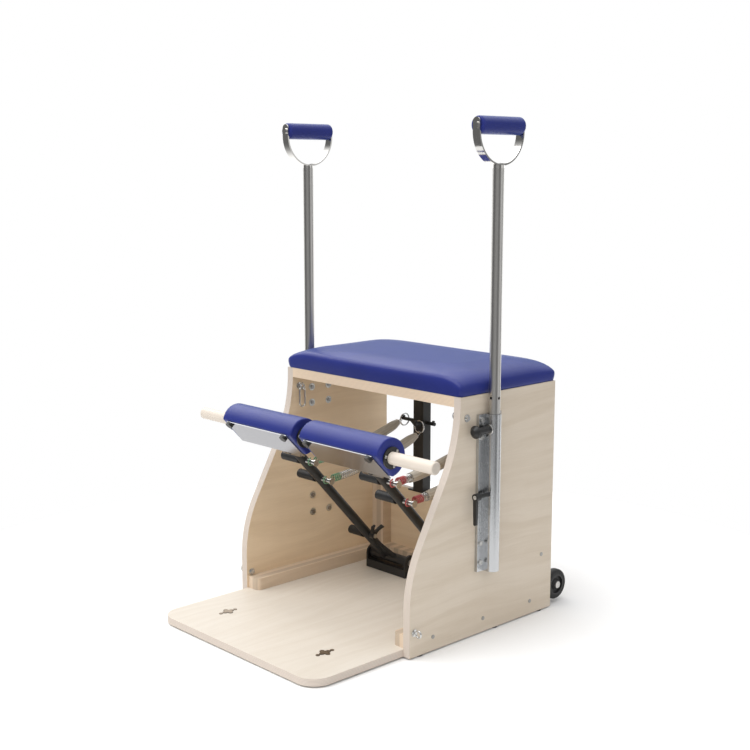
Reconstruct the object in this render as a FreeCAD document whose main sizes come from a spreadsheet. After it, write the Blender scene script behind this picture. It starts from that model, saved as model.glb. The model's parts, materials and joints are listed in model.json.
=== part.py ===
import FreeCAD, Part
import math
import os
import Sketcher

Vector = FreeCAD.Vector
Rotation = FreeCAD.Rotation

# A split-pedal exercise chair. X runs across it, the front is -Y and Z is up.
# The origin is on the floor, in the middle of the chair's width and depth.

doc = FreeCAD.newDocument("PilatesChair")
sheet = doc.addObject("Spreadsheet::Sheet", "Sizes")

# Driving sizes in millimetres, and angles in degrees, piece by piece.
SIZES = {
    # shared clearances and cuts
    "overrun": 2,
    "running_clearance": 0.08,
    "pin_clearance": 0.4,
    # side panels
    "overall_width": 634,
    "panel_thickness": 21,
    "panel_top": 600,
    "panel_foot_depth": 518,
    "panel_top_depth": 352,
    "toe_height": 111,
    "toe_radius": 312,
    "brow_radius": 370,
    "sweep_angle": 29,
    # boards
    "board_depth": 796,
    "board_thickness": 18,
    "board_corner_radius": 52,
    "seat_board_thickness": 25,
    "back_panel_thickness": 18,
    "back_panel_top": 230,
    "back_panel_inset": 7,
    # battens and cleats
    "batten_width": 40,
    "batten_height": 32,
    "batten_setback": 5,
    "batten_corner_radius": 14,
    "cleat_width": 44,
    "cleat_depth": 32,
    # seat cushion
    "cushion_overhang": 2,
    "cushion_height": 57,
    "cushion_corner_radius": 16,
    # feet, floor fixings and wood screws
    "foot_height": 4,
    "foot_radius": 10,
    "foot_end_setback": 40,
    "foot_middle_setback": 212,
    "board_foot_radius": 16,
    "fixing_inset": 110,
    "fixing_setback": 664,
    "fixing_hub_radius": 9,
    "fixing_petal_radius": 6,
    "fixing_petal_reach": 10,
    "fixing_screw_reach": 22,
    "fixing_thickness": 1.6,
    "fixing_barrel_radius": 5,
    "screw_head_radius": 5,
    "screw_head_height": 1.2,
    "screw_radius": 2.4,
    "screw_setback_front": 440,
    "screw_setback_middle": 263,
    "screw_setback_back": 84,
    "cleat_screw_height": 153,
    # spring posts under the back of the seat
    "post_shift": 23,
    "post_setback": 25,
    "post_width": 38,
    "post_depth": 30,
    "post_wall": 2.5,
    "post_plate_margin": 20,
    "post_plate_thickness": 4,
    "post_screw_margin": 10,
    "hook_height": 430,
    "hook_radius": 5,
    "hook_tip_radius": 4,
    "hook_tip_height": 9,
    "side_hook_length": 58,
    "free_hook_length": 30,
    "front_hook_length": 24,
    "front_hook_shift": 10,
    "hook_web_drop": 24,
    "hook_web_thickness": 6,
    # springs, their sleeves and rings
    "ring_radius": 17,
    "ring_wire_radius": 2,
    "ring_tip_gap": 8,
    "spring_wire_radius": 1.8,
    "spring_coil_radius": 9,
    "spring_lead": 13,
    "spring_sag": 16,
    "spring_eye_shift": 26,
    "sleeve_radius": 14,
    "sleeve_wall": 2.2,
    # pole guides
    "pole_offset": 21,
    "pole_setback": 256,
    "guide_top_drop": 47,
    "guide_bottom": 165,
    "guide_radius": 17,
    "guide_bore_radius": 15.4,
    "guide_flange_width": 23,
    "guide_flange_thickness": 8,
    "bush_length": 24,
    "lower_bush_height": 400,
    "guide_bolt_reach": 30,
    "guide_bolt_radius": 3.2,
    "guide_bolt_head_radius": 6,
    "guide_bolt_head_height": 4,
    "guide_washer_radius": 10,
    "guide_washer_thickness": 2,
    "guide_nut_radius": 5.5,
    "guide_nut_height": 2.5,
    "guide_bolt_height_one": 540,
    "guide_bolt_height_two": 497,
    "guide_bolt_height_three": 236,
    "guide_bolt_height_four": 188,
    # poles and handles
    "pole_radius": 14,
    "pole_wall": 2,
    "pole_foot_height": 238,
    "pole_hole_radius": 3.6,
    "pole_hole_pitch": 75,
    "foot_plug_thickness": 8,
    "foot_plug_spigot": 24,
    "grip_height": 1226,
    "grip_radius": 21,
    "grip_edge_radius": 6,
    "grip_bore_radius": 6.5,
    "grip_bolt_radius": 6,
    "grip_head_radius": 8,
    "grip_head_height": 4,
    "strap_radius": 78,
    "strap_leg": 13,
    "strap_width": 22,
    "strap_end_rise": 7,
    "strap_thickness": 4,
    # index plungers
    "plunger_height": 517,
    "plunger_nut_radius": 12,
    "plunger_nut_thickness": 4,
    "plunger_spigot_radius": 6,
    "plunger_boss_radius": 9,
    "plunger_boss_length": 38,
    "plunger_knob_radius": 15.5,
    "plunger_knob_length": 17,
    "plunger_pin_radius": 3.2,
    # clamp levers
    "lever_height": 358,
    "lever_stud_radius": 5,
    "lever_stud_length": 43,
    "lever_hub_radius": 9,
    "lever_hub_length": 15,
    "lever_arm_length": 69,
    "lever_arm_width": 12,
    "lever_tip_width": 8,
    "lever_arm_thickness": 7,
    # eye bolts and the snap hook
    "eye_setback": 331,
    "eye_height": 549,
    "low_eye_setback": 503,
    "low_eye_height": 64,
    "eye_ring_radius": 8,
    "eye_wire_radius": 2.3,
    "eye_stem_radius": 3,
    "eye_stem_length": 6,
    "eye_washer_radius": 9,
    "eye_washer_thickness": 2,
    "eye_nut_radius": 5.5,
    "eye_nut_height": 5,
    "snap_wire_radius": 2.3,
    "snap_bend_radius": 9,
    "snap_length": 34,
    # rear wheels
    "wheel_setback": 44,
    "wheel_radius": 40,
    "wheel_width": 24,
    "wheel_height": 48,
    "wheel_inset": 25,
    "hub_radius": 27,
    "hub_recess": 6,
    "hub_boss_radius": 11,
    "hub_rim": 4,
    "tyre_shoulder": 8,
    "wheel_axle_radius": 5,
    "wheel_spacer_radius": 8,
    "wheel_spacer_length": 5,
    "wheel_bracket_thickness": 4,
    "wheel_bracket_radius": 15,
    "wheel_bracket_flange": 46,
    "axle_head_radius": 9,
    "axle_head_height": 3,
    # pedal pivots
    "pivot_setback": 140,
    "pivot_height": 62,
    "bracket_outer_reach": 60,
    "bracket_inner_reach": 94,
    "bracket_depth": 42,
    "bracket_base_height": 23,
    "bracket_wall": 4,
    "ear_thickness": 6,
    "pivot_tube_radius": 14,
    "pivot_end_gap": 1,
    "pivot_bush_wall": 3,
    "pivot_bush_length": 20,
    "axle_radius": 7,
    # pedal arms and cross bars
    "arm_angle": 47.3,
    "arm_radius": 12.5,
    "arm_wall": 2.5,
    "arm_length": 534,
    "gusset_foot": 46,
    "gusset_length": 74,
    "gusset_thickness": 10,
    "bar_radius": 6,
    "low_bar_place": 105,
    "middle_bar_place": 360,
    "high_bar_place": 439,
    "bar_outer_reach": 80,
    "bar_inner_reach": 46,
    "bar_cap_radius": 9,
    "bar_cap_thickness": 3,
    "bar_sleeve_radius": 12,
    "bar_sleeve_gap": 2,
    "low_bar_outer_reach": 68,
    "low_bar_inner_reach": 30,
    # wing knobs
    "wing_hub_radius": 9,
    "wing_hub_length": 14,
    "wing_span": 33,
    "wing_flare": 12,
    "wing_root": 12,
    "wing_tip": 10,
    "wing_tip_radius": 6,
    "wing_thickness": 9,
    "wing_lean": 127,
    "wing_spread": 30,
    # pedal plates
    "tab_width": 70,
    "tab_start": 480,
    "tab_end": 518,
    "plate_thickness": 3,
    "plate_lip": 5,
    "plate_foot_margin": 11,
    "plate_top_margin": 18,
    "plate_edge_margin": 4,
    "tab_bolt_place_one": 492,
    "tab_bolt_place_two": 510,
    "tab_bolt_radius": 3,
    "tab_bolt_head_radius": 6,
    "tab_bolt_head_height": 3,
    "pad_bolt_end_margin": 28,
    "pad_bolt_margin": 10,
    "pad_bolt_radius": 3.5,
    "pad_bolt_depth": 22,
    "pad_bolt_head_radius": 9.5,
    "pad_bolt_head_height": 8,
    # pedal pads, dowel and its bushes
    "pad_gap": 30,
    "pad_side_gap": 9,
    "pad_radius": 47,
    "pad_place": 588,
    "pad_rise": 15,
    "pad_flat": 26,
    "pad_edge_radius": 3,
    "pad_corner_radius": 2.5,
    "dowel_radius": 15,
    "dowel_length": 856,
    "dowel_edge": 2,
    "dowel_bush_wall": 4,
    "dowel_bush_depth": 30,
    "dowel_flange_radius": 26,
    "dowel_flange_thickness": 4,
}
# Turns of a spring in its open stretch, on each pedal, and in its sleeve.
LEFT_OPEN_TURNS = 12
RIGHT_OPEN_TURNS = 6
SLEEVED_TURNS = 5
# Share of a spring's length that shows below its sleeve, on each pedal.
LEFT_OPEN_SHARE = 0.36
RIGHT_OPEN_SHARE = 0.18
# Cushion sections from the bottom up: share of its height, and inset as a share of its depth.
CUSHION_SHARES = (
    (0.0, 0.012), (0.16, 0.0), (0.36, 0.006), (0.52, 0.028),
    (0.67, 0.070), (0.80, 0.135), (0.91, 0.225), (1.0, 0.36),
)


class Size:
    """A number together with the formula that ties it to the sheet of sizes."""

    def __init__(self, value, formula=None):
        self.value = float(value)
        self.formula = formula or repr(self.value)

    def __float__(self):
        return self.value

    def __neg__(self):
        return Size(-self.value, f"(-{self.formula})")

    def __add__(self, other):
        other = as_size(other)
        return Size(self.value + other.value, f"({self.formula} + {other.formula})")

    def __sub__(self, other):
        other = as_size(other)
        return Size(self.value - other.value, f"({self.formula} - {other.formula})")

    def __rsub__(self, other):
        return as_size(other) - self

    def __mul__(self, other):
        other = as_size(other)
        return Size(self.value * other.value, f"({self.formula} * {other.formula})")

    def __truediv__(self, other):
        other = as_size(other)
        return Size(self.value / other.value, f"({self.formula} / {other.formula})")

    __radd__ = __add__
    __rmul__ = __mul__


def as_size(number):
    """Give a plain number the form of a size."""
    return number if isinstance(number, Size) else Size(number)


def cosine(angle):
    """Cosine of an angle in degrees."""
    return Size(math.cos(math.radians(angle.value)), f"cos({angle.formula})")


def sine(angle):
    """Sine of an angle in degrees."""
    return Size(math.sin(math.radians(angle.value)), f"sin({angle.formula})")


def root(length):
    """Square root of a squared length."""
    return Size(math.sqrt(length.value), f"sqrt({length.formula})")


class Sizes:
    """Every driving size under its own name."""


size = Sizes()
for row, (alias, number) in enumerate(SIZES.items(), start=1):
    sheet.set(f"A{row}", str(number))
    sheet.setAlias(f"A{row}", alias)
    setattr(size, alias, Size(number, f"Sizes.{alias}"))
doc.recompute()

# Helpers that make one solid each

ALONG = {
    "x": Rotation(Vector(0, 1, 0), 90),
    "y": Rotation(Vector(1, 0, 0), -90),
    "z": Rotation(),
}
LEFT_SIDE = 1
RIGHT_SIDE = -1
nodes = []


def bind(item, prop, length):
    """Tie a property of an object to a size."""
    length = as_size(length)
    if "Sizes." in length.formula:
        item.setExpression(prop, length.formula)


def place(item, spot, turn=Rotation()):
    """Put an object at a spot, turned."""
    item.Placement = FreeCAD.Placement(Vector(*[float(length) for length in spot]), turn)
    for axis, length in zip("xyz", spot):
        bind(item, "Placement.Base." + axis, length)
    return item


def block(low, high):
    """A box between two corners."""
    item = doc.addObject("Part::Box", "Block")
    for prop, start, end in zip(("Length", "Width", "Height"), low, high):
        bind(item, prop, as_size(end) - start)
    return place(item, low)


def rod(axis, radius, start, length):
    """A round bar from a start point along one axis."""
    item = doc.addObject("Part::Cylinder", "Rod")
    bind(item, "Radius", radius)
    bind(item, "Height", length)
    return place(item, start, ALONG[axis])


def ring(axis, radius, wire, centre):
    """A closed ring about one axis."""
    item = doc.addObject("Part::Torus", "Ring")
    bind(item, "Radius1", radius)
    bind(item, "Radius2", wire)
    return place(item, centre, ALONG[axis])


def fuse(*items):
    """One solid from several that touch or overlap."""
    item = doc.addObject("Part::MultiFuse", "Fusion")
    item.Shapes = list(items)
    return item


def group(*items):
    """Several separate solids that share a node."""
    item = doc.addObject("Part::Compound", "Group")
    item.Links = list(items)
    return item


def cut(base, *tools):
    """A solid with others taken out of it."""
    item = doc.addObject("Part::Cut", "Cut")
    item.Base = base
    item.Tool = tools[0] if len(tools) == 1 else group(*tools)
    return item


def tube(axis, outer, inner, start, length):
    """A round tube from a start point along one axis."""
    before = [float(axis == name) * size.overrun for name in "xyz"]
    bore_start = [as_size(place_of) - step for place_of, step in zip(start, before)]
    bore = rod(axis, inner, bore_start, length + 2 * size.overrun)
    return cut(rod(axis, outer, start, length), bore)


def flat_sketch(body, role, corners):
    """A closed outline of straight runs and arcs, every corner tied to its sizes.

    A corner is (a, b), or (a, b, radius, side) where the run to the next corner is an arc
    with its centre on that side of the way there.
    """
    sketch = body.newObject("Sketcher::SketchObject", "Outline")
    plane = [item for item in body.Origin.OriginFeatures if item.Role == role][0]
    sketch.AttachmentSupport = (plane, "")
    sketch.MapMode = "FlatFace"
    points = [Vector(float(corner[0]), float(corner[1]), 0) for corner in corners]
    ends = []
    for index, corner in enumerate(corners):
        here = points[index]
        there = points[(index + 1) % len(points)]
        if len(corner) == 2:
            sketch.addGeometry(Part.LineSegment(here, there))
            ends.append((1, 2))
            continue
        run = there - here
        middle = (here + there) / 2
        across = Vector(-run.y, run.x, 0).normalize()
        reach = math.sqrt(max(float(corner[2]) ** 2 - (run.Length / 2) ** 2, 0))
        centre = middle + across * (reach * corner[3])
        crown = centre + across * (-corner[3] * float(corner[2]))
        sketch.addGeometry(Part.Arc(here, crown, there))
        start_gap = sketch.getPoint(index, 1).distanceToPoint(here)
        swapped = start_gap > sketch.getPoint(index, 2).distanceToPoint(here)
        ends.append((2, 1) if swapped else (1, 2))
    for index in range(len(corners)):
        after = (index + 1) % len(corners)
        sketch.addConstraint(Sketcher.Constraint("Coincident", index, ends[index][1], after, ends[after][0]))
    for index, corner in enumerate(corners):
        for kind, length, axis in (
            ("DistanceX", as_size(corner[0]), -2),
            ("DistanceY", as_size(corner[1]), -1),
        ):
            if "Sizes." not in length.formula:
                sketch.addConstraint(Sketcher.Constraint("PointOnObject", index, ends[index][0], axis))
                continue
            row = sketch.addConstraint(Sketcher.Constraint(kind, index, ends[index][0], length.value))
            sketch.setExpression(f"Constraints[{row}]", length.formula)
        if len(corner) > 2:
            row = sketch.addConstraint(Sketcher.Constraint("Radius", index, float(corner[2])))
            sketch.setExpression(f"Constraints[{row}]", as_size(corner[2]).formula)
    return sketch


def plate(role, corners, thickness, spot, turn=Rotation()):
    """An outline with a thickness along its plane's normal."""
    body = doc.addObject("PartDesign::Body", "Plate")
    sketch = flat_sketch(body, role, corners)
    pad = body.newObject("PartDesign::Pad", "Thickness")
    pad.Profile = sketch
    bind(pad, "Length", thickness)
    doc.recompute()
    return place(body, spot, turn)


def turned(corners, spot, turn):
    """A turned piece: an outline of (radius, height) corners revolved about its own Z axis."""
    body = doc.addObject("PartDesign::Body", "Turned")
    sketch = flat_sketch(body, "XZ_Plane", corners)
    turning = body.newObject("PartDesign::Revolution", "Turning")
    turning.Profile = sketch
    turning.ReferenceAxis = (sketch, ["V_Axis"])
    turning.Angle = 360
    doc.recompute()
    return place(body, spot, turn)


def soften(body, radius, wanted):
    """Round the edges of a body that a test picks."""
    last = body.Tip
    names = [f"Edge{n}" for n, edge in enumerate(last.Shape.Edges, start=1) if wanted(edge)]
    rounding = body.newObject("PartDesign::Fillet", "Rounding")
    rounding.Base = (last, names)
    bind(rounding, "Radius", radius)
    doc.recompute()
    return body


def solid(shape):
    """An object that holds a shape worked out from the sizes."""
    item = doc.addObject("Part::Feature", "Form")
    item.Shape = shape
    return item


def node(name, item):
    """Give a finished piece its name."""
    item.Label = name
    nodes.append(item)
    return item


# Places that many pieces share

half_width = size.overall_width / 2
inner_x = half_width - size.panel_thickness
front_y = -(size.board_depth + size.wheel_setback + size.wheel_radius) / 2
back_y = front_y + size.board_depth
foot_y = back_y - size.panel_foot_depth
top_y = back_y - size.panel_top_depth
base_top = size.foot_height + size.board_thickness
seat_under = size.panel_top - size.seat_board_thickness
back_face = back_y - size.back_panel_inset
back_front = back_face - size.back_panel_thickness
cleat_front = back_front - size.cleat_depth
pole_x = half_width + size.pole_offset
pole_y = back_y - size.pole_setback
pivot_y = back_y - size.pivot_setback
pad_length = inner_x - size.pad_side_gap - size.pad_gap / 2
pad_reach = pad_length / 2
arm_reach = size.pad_gap / 2 + pad_reach
fixing_spread = inner_x - size.fixing_inset
SIDES = (("left", -1), ("right", 1))


def mirrored_x(sign, low, high):
    """Low and high X of a piece that lies between two reaches on one side."""
    return (low, high) if sign > 0 else (-high, -low)


# Side panels: upright toe, swept front and upright brow


def panel_corners():
    """The side panel's outline as (Y, Z) corners."""
    dip = 1 - cosine(size.sweep_angle)
    rise = sine(size.sweep_angle)
    toe_end_y = foot_y + size.toe_radius * dip
    toe_end_z = size.toe_height + size.toe_radius * rise
    brow_start_y = top_y - size.brow_radius * dip
    brow_start_z = toe_end_z + (brow_start_y - toe_end_y) * cosine(size.sweep_angle) / rise
    brow_end_z = brow_start_z + size.brow_radius * rise
    return (
        (back_y, size.foot_height),
        (foot_y, size.foot_height),
        (foot_y, size.toe_height, size.toe_radius, RIGHT_SIDE),
        (toe_end_y, toe_end_z),
        (brow_start_y, brow_start_z, size.brow_radius, LEFT_SIDE),
        (top_y, brow_end_z),
        (top_y, size.panel_top),
        (back_y, size.panel_top),
    )


guide_bolt_heights = (
    size.guide_bolt_height_one,
    size.guide_bolt_height_two,
    size.guide_bolt_height_three,
    size.guide_bolt_height_four,
)
guide_bolt_spots = [
    (pole_y + reach, height)
    for reach in (-size.guide_bolt_reach, size.guide_bolt_reach)
    for height in guide_bolt_heights
]
eye_spots = (
    (back_y - size.eye_setback, size.eye_height),
    (back_y - size.low_eye_setback, size.low_eye_height),
)
batten_middle = base_top + size.batten_height / 2
panel_screw_spots = (
    (back_y - size.screw_setback_front, batten_middle),
    (back_y - size.screw_setback_middle, batten_middle),
    (back_y - size.screw_setback_back, batten_middle),
    (cleat_front + size.cleat_depth / 2, size.cleat_screw_height),
)
for side, sign in SIDES:
    low_x, high_x = mirrored_x(sign, inner_x, half_width)
    board = plate("YZ_Plane", panel_corners(), size.panel_thickness, (low_x, 0, 0))
    holes = []
    for spots, radius in (
        (guide_bolt_spots, size.guide_bolt_radius),
        (eye_spots, size.eye_stem_radius),
        (panel_screw_spots, size.screw_radius),
    ):
        for y, z in spots:
            start = (low_x - size.overrun, y, z)
            holes.append(rod("x", radius, start, size.panel_thickness + 2 * size.overrun))
    node("side_panel_" + side, cut(board, *holes))

# Base board with rounded front corners, seat board and back panel

corner = size.board_corner_radius
base_board = plate(
    "XY_Plane",
    (
        (inner_x, back_face),
        (-inner_x, back_face),
        (-inner_x, front_y + corner, corner, LEFT_SIDE),
        (-inner_x + corner, front_y),
        (inner_x - corner, front_y, corner, LEFT_SIDE),
        (inner_x, front_y + corner),
    ),
    size.board_thickness,
    (0, 0, size.foot_height),
)
fixing_y = back_y - size.fixing_setback
barrel_holes = [
    rod("z", size.fixing_barrel_radius, (sign * fixing_spread, fixing_y, size.foot_height - size.overrun),
        size.board_thickness + 2 * size.overrun)
    for side, sign in SIDES
]
node("base_board", cut(base_board, *barrel_holes))
node("seat_board", block((-inner_x, top_y, seat_under), (inner_x, back_y, size.panel_top)))
node("back_panel", block((-inner_x, back_front, base_top), (inner_x, back_face, size.back_panel_top)))

# Battens along the floor and up the back corners


def side_batten(sign):
    """A floor batten with its inner front corner rounded."""
    near = inner_x - size.batten_width
    start = foot_y + size.batten_setback
    bend = size.batten_corner_radius
    if sign > 0:
        corners = (
            (near, start + bend, bend, LEFT_SIDE),
            (near + bend, start),
            (inner_x, start),
            (inner_x, back_front),
            (near, back_front),
        )
    else:
        corners = (
            (-near - bend, start, bend, LEFT_SIDE),
            (-near, start + bend),
            (-near, back_front),
            (-inner_x, back_front),
            (-inner_x, start),
        )
    return plate("XY_Plane", corners, size.batten_height, (0, 0, base_top))


batten_top = base_top + size.batten_height
rear_reach = inner_x - size.batten_width
rear_batten = block((-rear_reach, cleat_front, base_top), (rear_reach, back_front, batten_top))
cleats = []
for side, sign in SIDES:
    low_x, high_x = mirrored_x(sign, inner_x - size.cleat_width, inner_x)
    cleats.append(block((low_x, cleat_front, batten_top), (high_x, back_front, size.back_panel_top)))
node("battens", group(side_batten(-1), side_batten(1), rear_batten, *cleats))

# Seat cushion with a crown and drawn-in sides


def cushion_section(inset, height):
    """A rectangle with rounded corners at one height of the cushion."""
    reach_x = float(half_width + size.cushion_overhang) - inset
    low_y = float(top_y - size.cushion_overhang) + inset
    high_y = float(back_y + size.cushion_overhang) - inset
    bend = float(size.cushion_corner_radius)
    z = float(size.panel_top) + height
    slack = bend * (1 - math.sqrt(0.5))
    edges = []
    for sign_x, sign_y in ((1, 1), (-1, 1), (-1, -1), (1, -1)):
        x = sign_x * reach_x
        y = high_y if sign_y > 0 else low_y
        beside = Vector(x, y - sign_y * bend, z)
        beyond = Vector(x - sign_x * bend, y, z)
        crown = Vector(x - sign_x * slack, y - sign_y * slack, z)
        first, last = (beside, beyond) if sign_x * sign_y > 0 else (beyond, beside)
        edges.append((first, crown, last))
    runs = []
    for index, (first, crown, last) in enumerate(edges):
        following = edges[(index + 1) % len(edges)][0]
        runs.append(Part.Arc(first, crown, last).toShape())
        runs.append(Part.LineSegment(last, following).toShape())
    return Part.Wire(runs)


cushion_depth = float(size.panel_top_depth)
sections = [
    cushion_section(inset_share * cushion_depth, height_share * float(size.cushion_height))
    for height_share, inset_share in CUSHION_SHARES
]
node("seat_cushion", solid(Part.makeLoft(sections, True, True)))

# Feet, floor fixings and screws

feet = []
for side, sign in SIDES:
    far_setback = size.panel_foot_depth - size.foot_end_setback
    for setback in (size.foot_end_setback, size.foot_middle_setback, far_setback):
        spot = (sign * (half_width - size.panel_thickness / 2), back_y - setback, 0)
        feet.append(rod("z", size.foot_radius, spot, size.foot_height))
    feet.append(rod("z", size.board_foot_radius, (sign * fixing_spread, fixing_y, 0), size.foot_height))
node("feet", group(*feet))


def floor_fixing(x):
    """A four-petalled flange on the board with a barrel through it, and two screws beside it."""
    spot = (x, fixing_y, base_top)
    pieces = [rod("z", size.fixing_hub_radius, spot, size.fixing_thickness)]
    for step_x, step_y in ((1, 0), (-1, 0), (0, 1), (0, -1)):
        petal_x = x + step_x * size.fixing_petal_reach
        petal_y = fixing_y + step_y * size.fixing_petal_reach
        pieces.append(rod("z", size.fixing_petal_radius, (petal_x, petal_y, base_top), size.fixing_thickness))
    barrel = rod("z", size.fixing_barrel_radius, (x, fixing_y, size.foot_height), size.board_thickness)
    flower = fuse(barrel, *pieces)
    screws = [
        rod("z", size.screw_head_radius, (x, fixing_y + sign * size.fixing_screw_reach, base_top),
            size.screw_head_height)
        for side, sign in SIDES
    ]
    return [flower] + screws


def panel_screw(sign, y, z):
    """A screw through a side panel with its head on the outside."""
    low_x, high_x = mirrored_x(sign, half_width, half_width + size.screw_head_height)
    shank_x, end_x = mirrored_x(sign, inner_x, half_width)
    head = rod("x", size.screw_head_radius, (low_x, y, z), size.screw_head_height)
    return fuse(head, rod("x", size.screw_radius, (shank_x, y, z), size.panel_thickness))


post_y = back_y - size.post_setback
arm_x = {side: sign * arm_reach for side, sign in SIDES}
post_spots = {side: arm_x[side] + size.post_shift for side, sign in SIDES}
post_plate_reach = size.post_width / 2 + size.post_plate_margin
fixings = []
for side, sign in SIDES:
    fixings += floor_fixing(sign * fixing_spread)
    fixings += [panel_screw(sign, y, z) for y, z in panel_screw_spots]
    for step in (-1, 1):
        screw_x = post_spots[side] + step * (post_plate_reach - size.post_screw_margin)
        under = seat_under - size.post_plate_thickness - size.screw_head_height
        over = size.back_panel_top + size.post_plate_thickness
        fixings.append(rod("z", size.screw_head_radius, (screw_x, post_y, under), size.screw_head_height))
        fixings.append(rod("z", size.screw_head_radius, (screw_x, post_y, over), size.screw_head_height))
node("fixings", group(*fixings))

# Spring posts: square tube between the seat and the back panel, with three hooks

post_front = post_y - size.post_depth / 2


def spring_post(x):
    """A post with end plates, a webbed hook to the left, one to the front and one to the right."""
    half = size.post_width / 2
    low = size.back_panel_top
    high = seat_under
    wall = size.post_wall
    foot = low + size.post_plate_thickness
    head = high - size.post_plate_thickness
    outer = block((x - half, post_front, low), (x + half, post_front + size.post_depth, high))
    inner = block((x - half + wall, post_front + wall, foot),
                  (x + half - wall, post_front + size.post_depth - wall, head))
    shell = cut(outer, inner)
    plates = [
        block(
            (x - post_plate_reach, post_front, bottom),
            (x + post_plate_reach, post_front + size.post_depth, top),
        )
        for bottom, top in ((low, foot), (head, high))
    ]
    hook = size.hook_height
    radius = size.hook_radius
    left_end = x - half - size.side_hook_length
    right_end = x + half + size.free_hook_length
    front_end = post_front - size.front_hook_length
    front_x = x + size.front_hook_shift
    arms = [
        rod("x", radius, (left_end, post_y, hook), size.side_hook_length),
        rod("x", radius, (x + half, post_y, hook), size.free_hook_length),
        rod("y", radius, (front_x, front_end, hook), size.front_hook_length),
    ]
    tips = [
        rod("z", size.hook_tip_radius, (left_end + radius, post_y, hook), size.hook_tip_height),
        rod("z", size.hook_tip_radius, (right_end - radius, post_y, hook), size.hook_tip_height),
        rod("z", size.hook_tip_radius, (front_x, front_end + radius, hook), size.hook_tip_height),
    ]
    web_reach = size.side_hook_length / 2
    web = plate(
        "XZ_Plane",
        ((x - half - web_reach, hook), (x - half, hook - size.hook_web_drop), (x - half, hook)),
        size.hook_web_thickness,
        (0, post_y + size.hook_web_thickness / 2, 0),
    )
    return fuse(shell, web, *plates, *arms, *tips)


for side, sign in SIDES:
    node("spring_post_" + side, spring_post(post_spots[side]))

# Pole guides: an extrusion with two flanges and a round back, one on each side panel


def guide_corners():
    """The extrusion's section about the pole's axis, with its flanges against the panel."""
    back = -size.pole_offset
    lip = back + size.guide_flange_thickness
    bend = size.guide_radius
    wide = bend + size.guide_flange_width
    return (
        (back, -wide),
        (lip, -wide),
        (lip, -bend),
        (0, -bend, bend, LEFT_SIDE),
        (bend, 0, bend, LEFT_SIDE),
        (0, bend),
        (lip, bend),
        (lip, wide),
        (back, wide),
    )


guide_top = size.panel_top - size.guide_top_drop
guide_height = guide_top - size.guide_bottom
face_y = pole_y - size.guide_radius
guide_lip_x = half_width + size.guide_flange_thickness
for side, sign in SIDES:
    x = sign * pole_x
    facing = Rotation() if sign > 0 else Rotation(Vector(0, 0, 1), 180)
    section = plate("XY_Plane", guide_corners(), guide_height, (x, pole_y, size.guide_bottom), facing)
    cuts = [rod("z", size.guide_bore_radius, (x, pole_y, size.guide_bottom - size.overrun),
                guide_height + 2 * size.overrun)]
    lip_start, lip_end = mirrored_x(sign, half_width - size.overrun, guide_lip_x + size.overrun)
    for y, z in guide_bolt_spots:
        cuts.append(rod("x", size.guide_bolt_radius, (lip_start, y, z), lip_end - lip_start))
    for radius, z in ((size.plunger_spigot_radius, size.plunger_height),
                      (size.lever_stud_radius + size.running_clearance, size.lever_height)):
        cuts.append(rod("y", radius, (x, face_y - size.overrun, z), size.guide_radius))
    node("pole_guide_" + side, cut(section, *cuts))

bushes = []
bush_bore = size.pole_radius + size.running_clearance
for side, sign in SIDES:
    for bottom in (size.lower_bush_height, guide_top - size.bush_length):
        spot = (sign * pole_x, pole_y, bottom)
        bushes.append(tube("z", size.guide_bore_radius, bush_bore, spot, size.bush_length))
node("guide_bushes", group(*bushes))


def guide_bolt(sign, y, z):
    """A bolt through flange and panel, its head outside and its washer and nut inside."""
    reach = size.guide_bolt_head_height
    low_x, high_x = mirrored_x(sign, guide_lip_x, guide_lip_x + reach)
    head = rod("x", size.guide_bolt_head_radius, (low_x, y, z), reach)
    stack = size.guide_washer_thickness + size.guide_nut_height
    shank_x, end_x = mirrored_x(sign, inner_x - stack, guide_lip_x)
    shank = rod("x", size.guide_bolt_radius, (shank_x, y, z), end_x - shank_x)
    washer_x, end_x = mirrored_x(sign, inner_x - size.guide_washer_thickness, inner_x)
    washer = rod("x", size.guide_washer_radius, (washer_x, y, z), size.guide_washer_thickness)
    nut_x, end_x = mirrored_x(sign, inner_x - stack, inner_x)
    return fuse(head, shank, washer, rod("x", size.guide_nut_radius, (nut_x, y, z), stack))


guide_fixings = [guide_bolt(sign, y, z) for side, sign in SIDES for y, z in guide_bolt_spots]

# Index plungers: a fixed sleeve in the guide's wall, and a knob with its pin

pin_bore = size.plunger_pin_radius + size.running_clearance
for side, sign in SIDES:
    x = sign * pole_x
    nut = rod("y", size.plunger_nut_radius, (x, face_y - size.plunger_nut_thickness, size.plunger_height),
              size.plunger_nut_thickness)
    wall = size.guide_radius - size.guide_bore_radius
    spigot = rod("y", size.plunger_spigot_radius, (x, face_y, size.plunger_height), wall)
    start = (x, face_y - size.plunger_nut_thickness - size.overrun, size.plunger_height)
    bore = rod("y", pin_bore, start, size.plunger_nut_thickness + wall + 2 * size.overrun)
    guide_fixings.append(cut(fuse(nut, spigot), bore))
node("guide_fixings", group(*guide_fixings))


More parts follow.
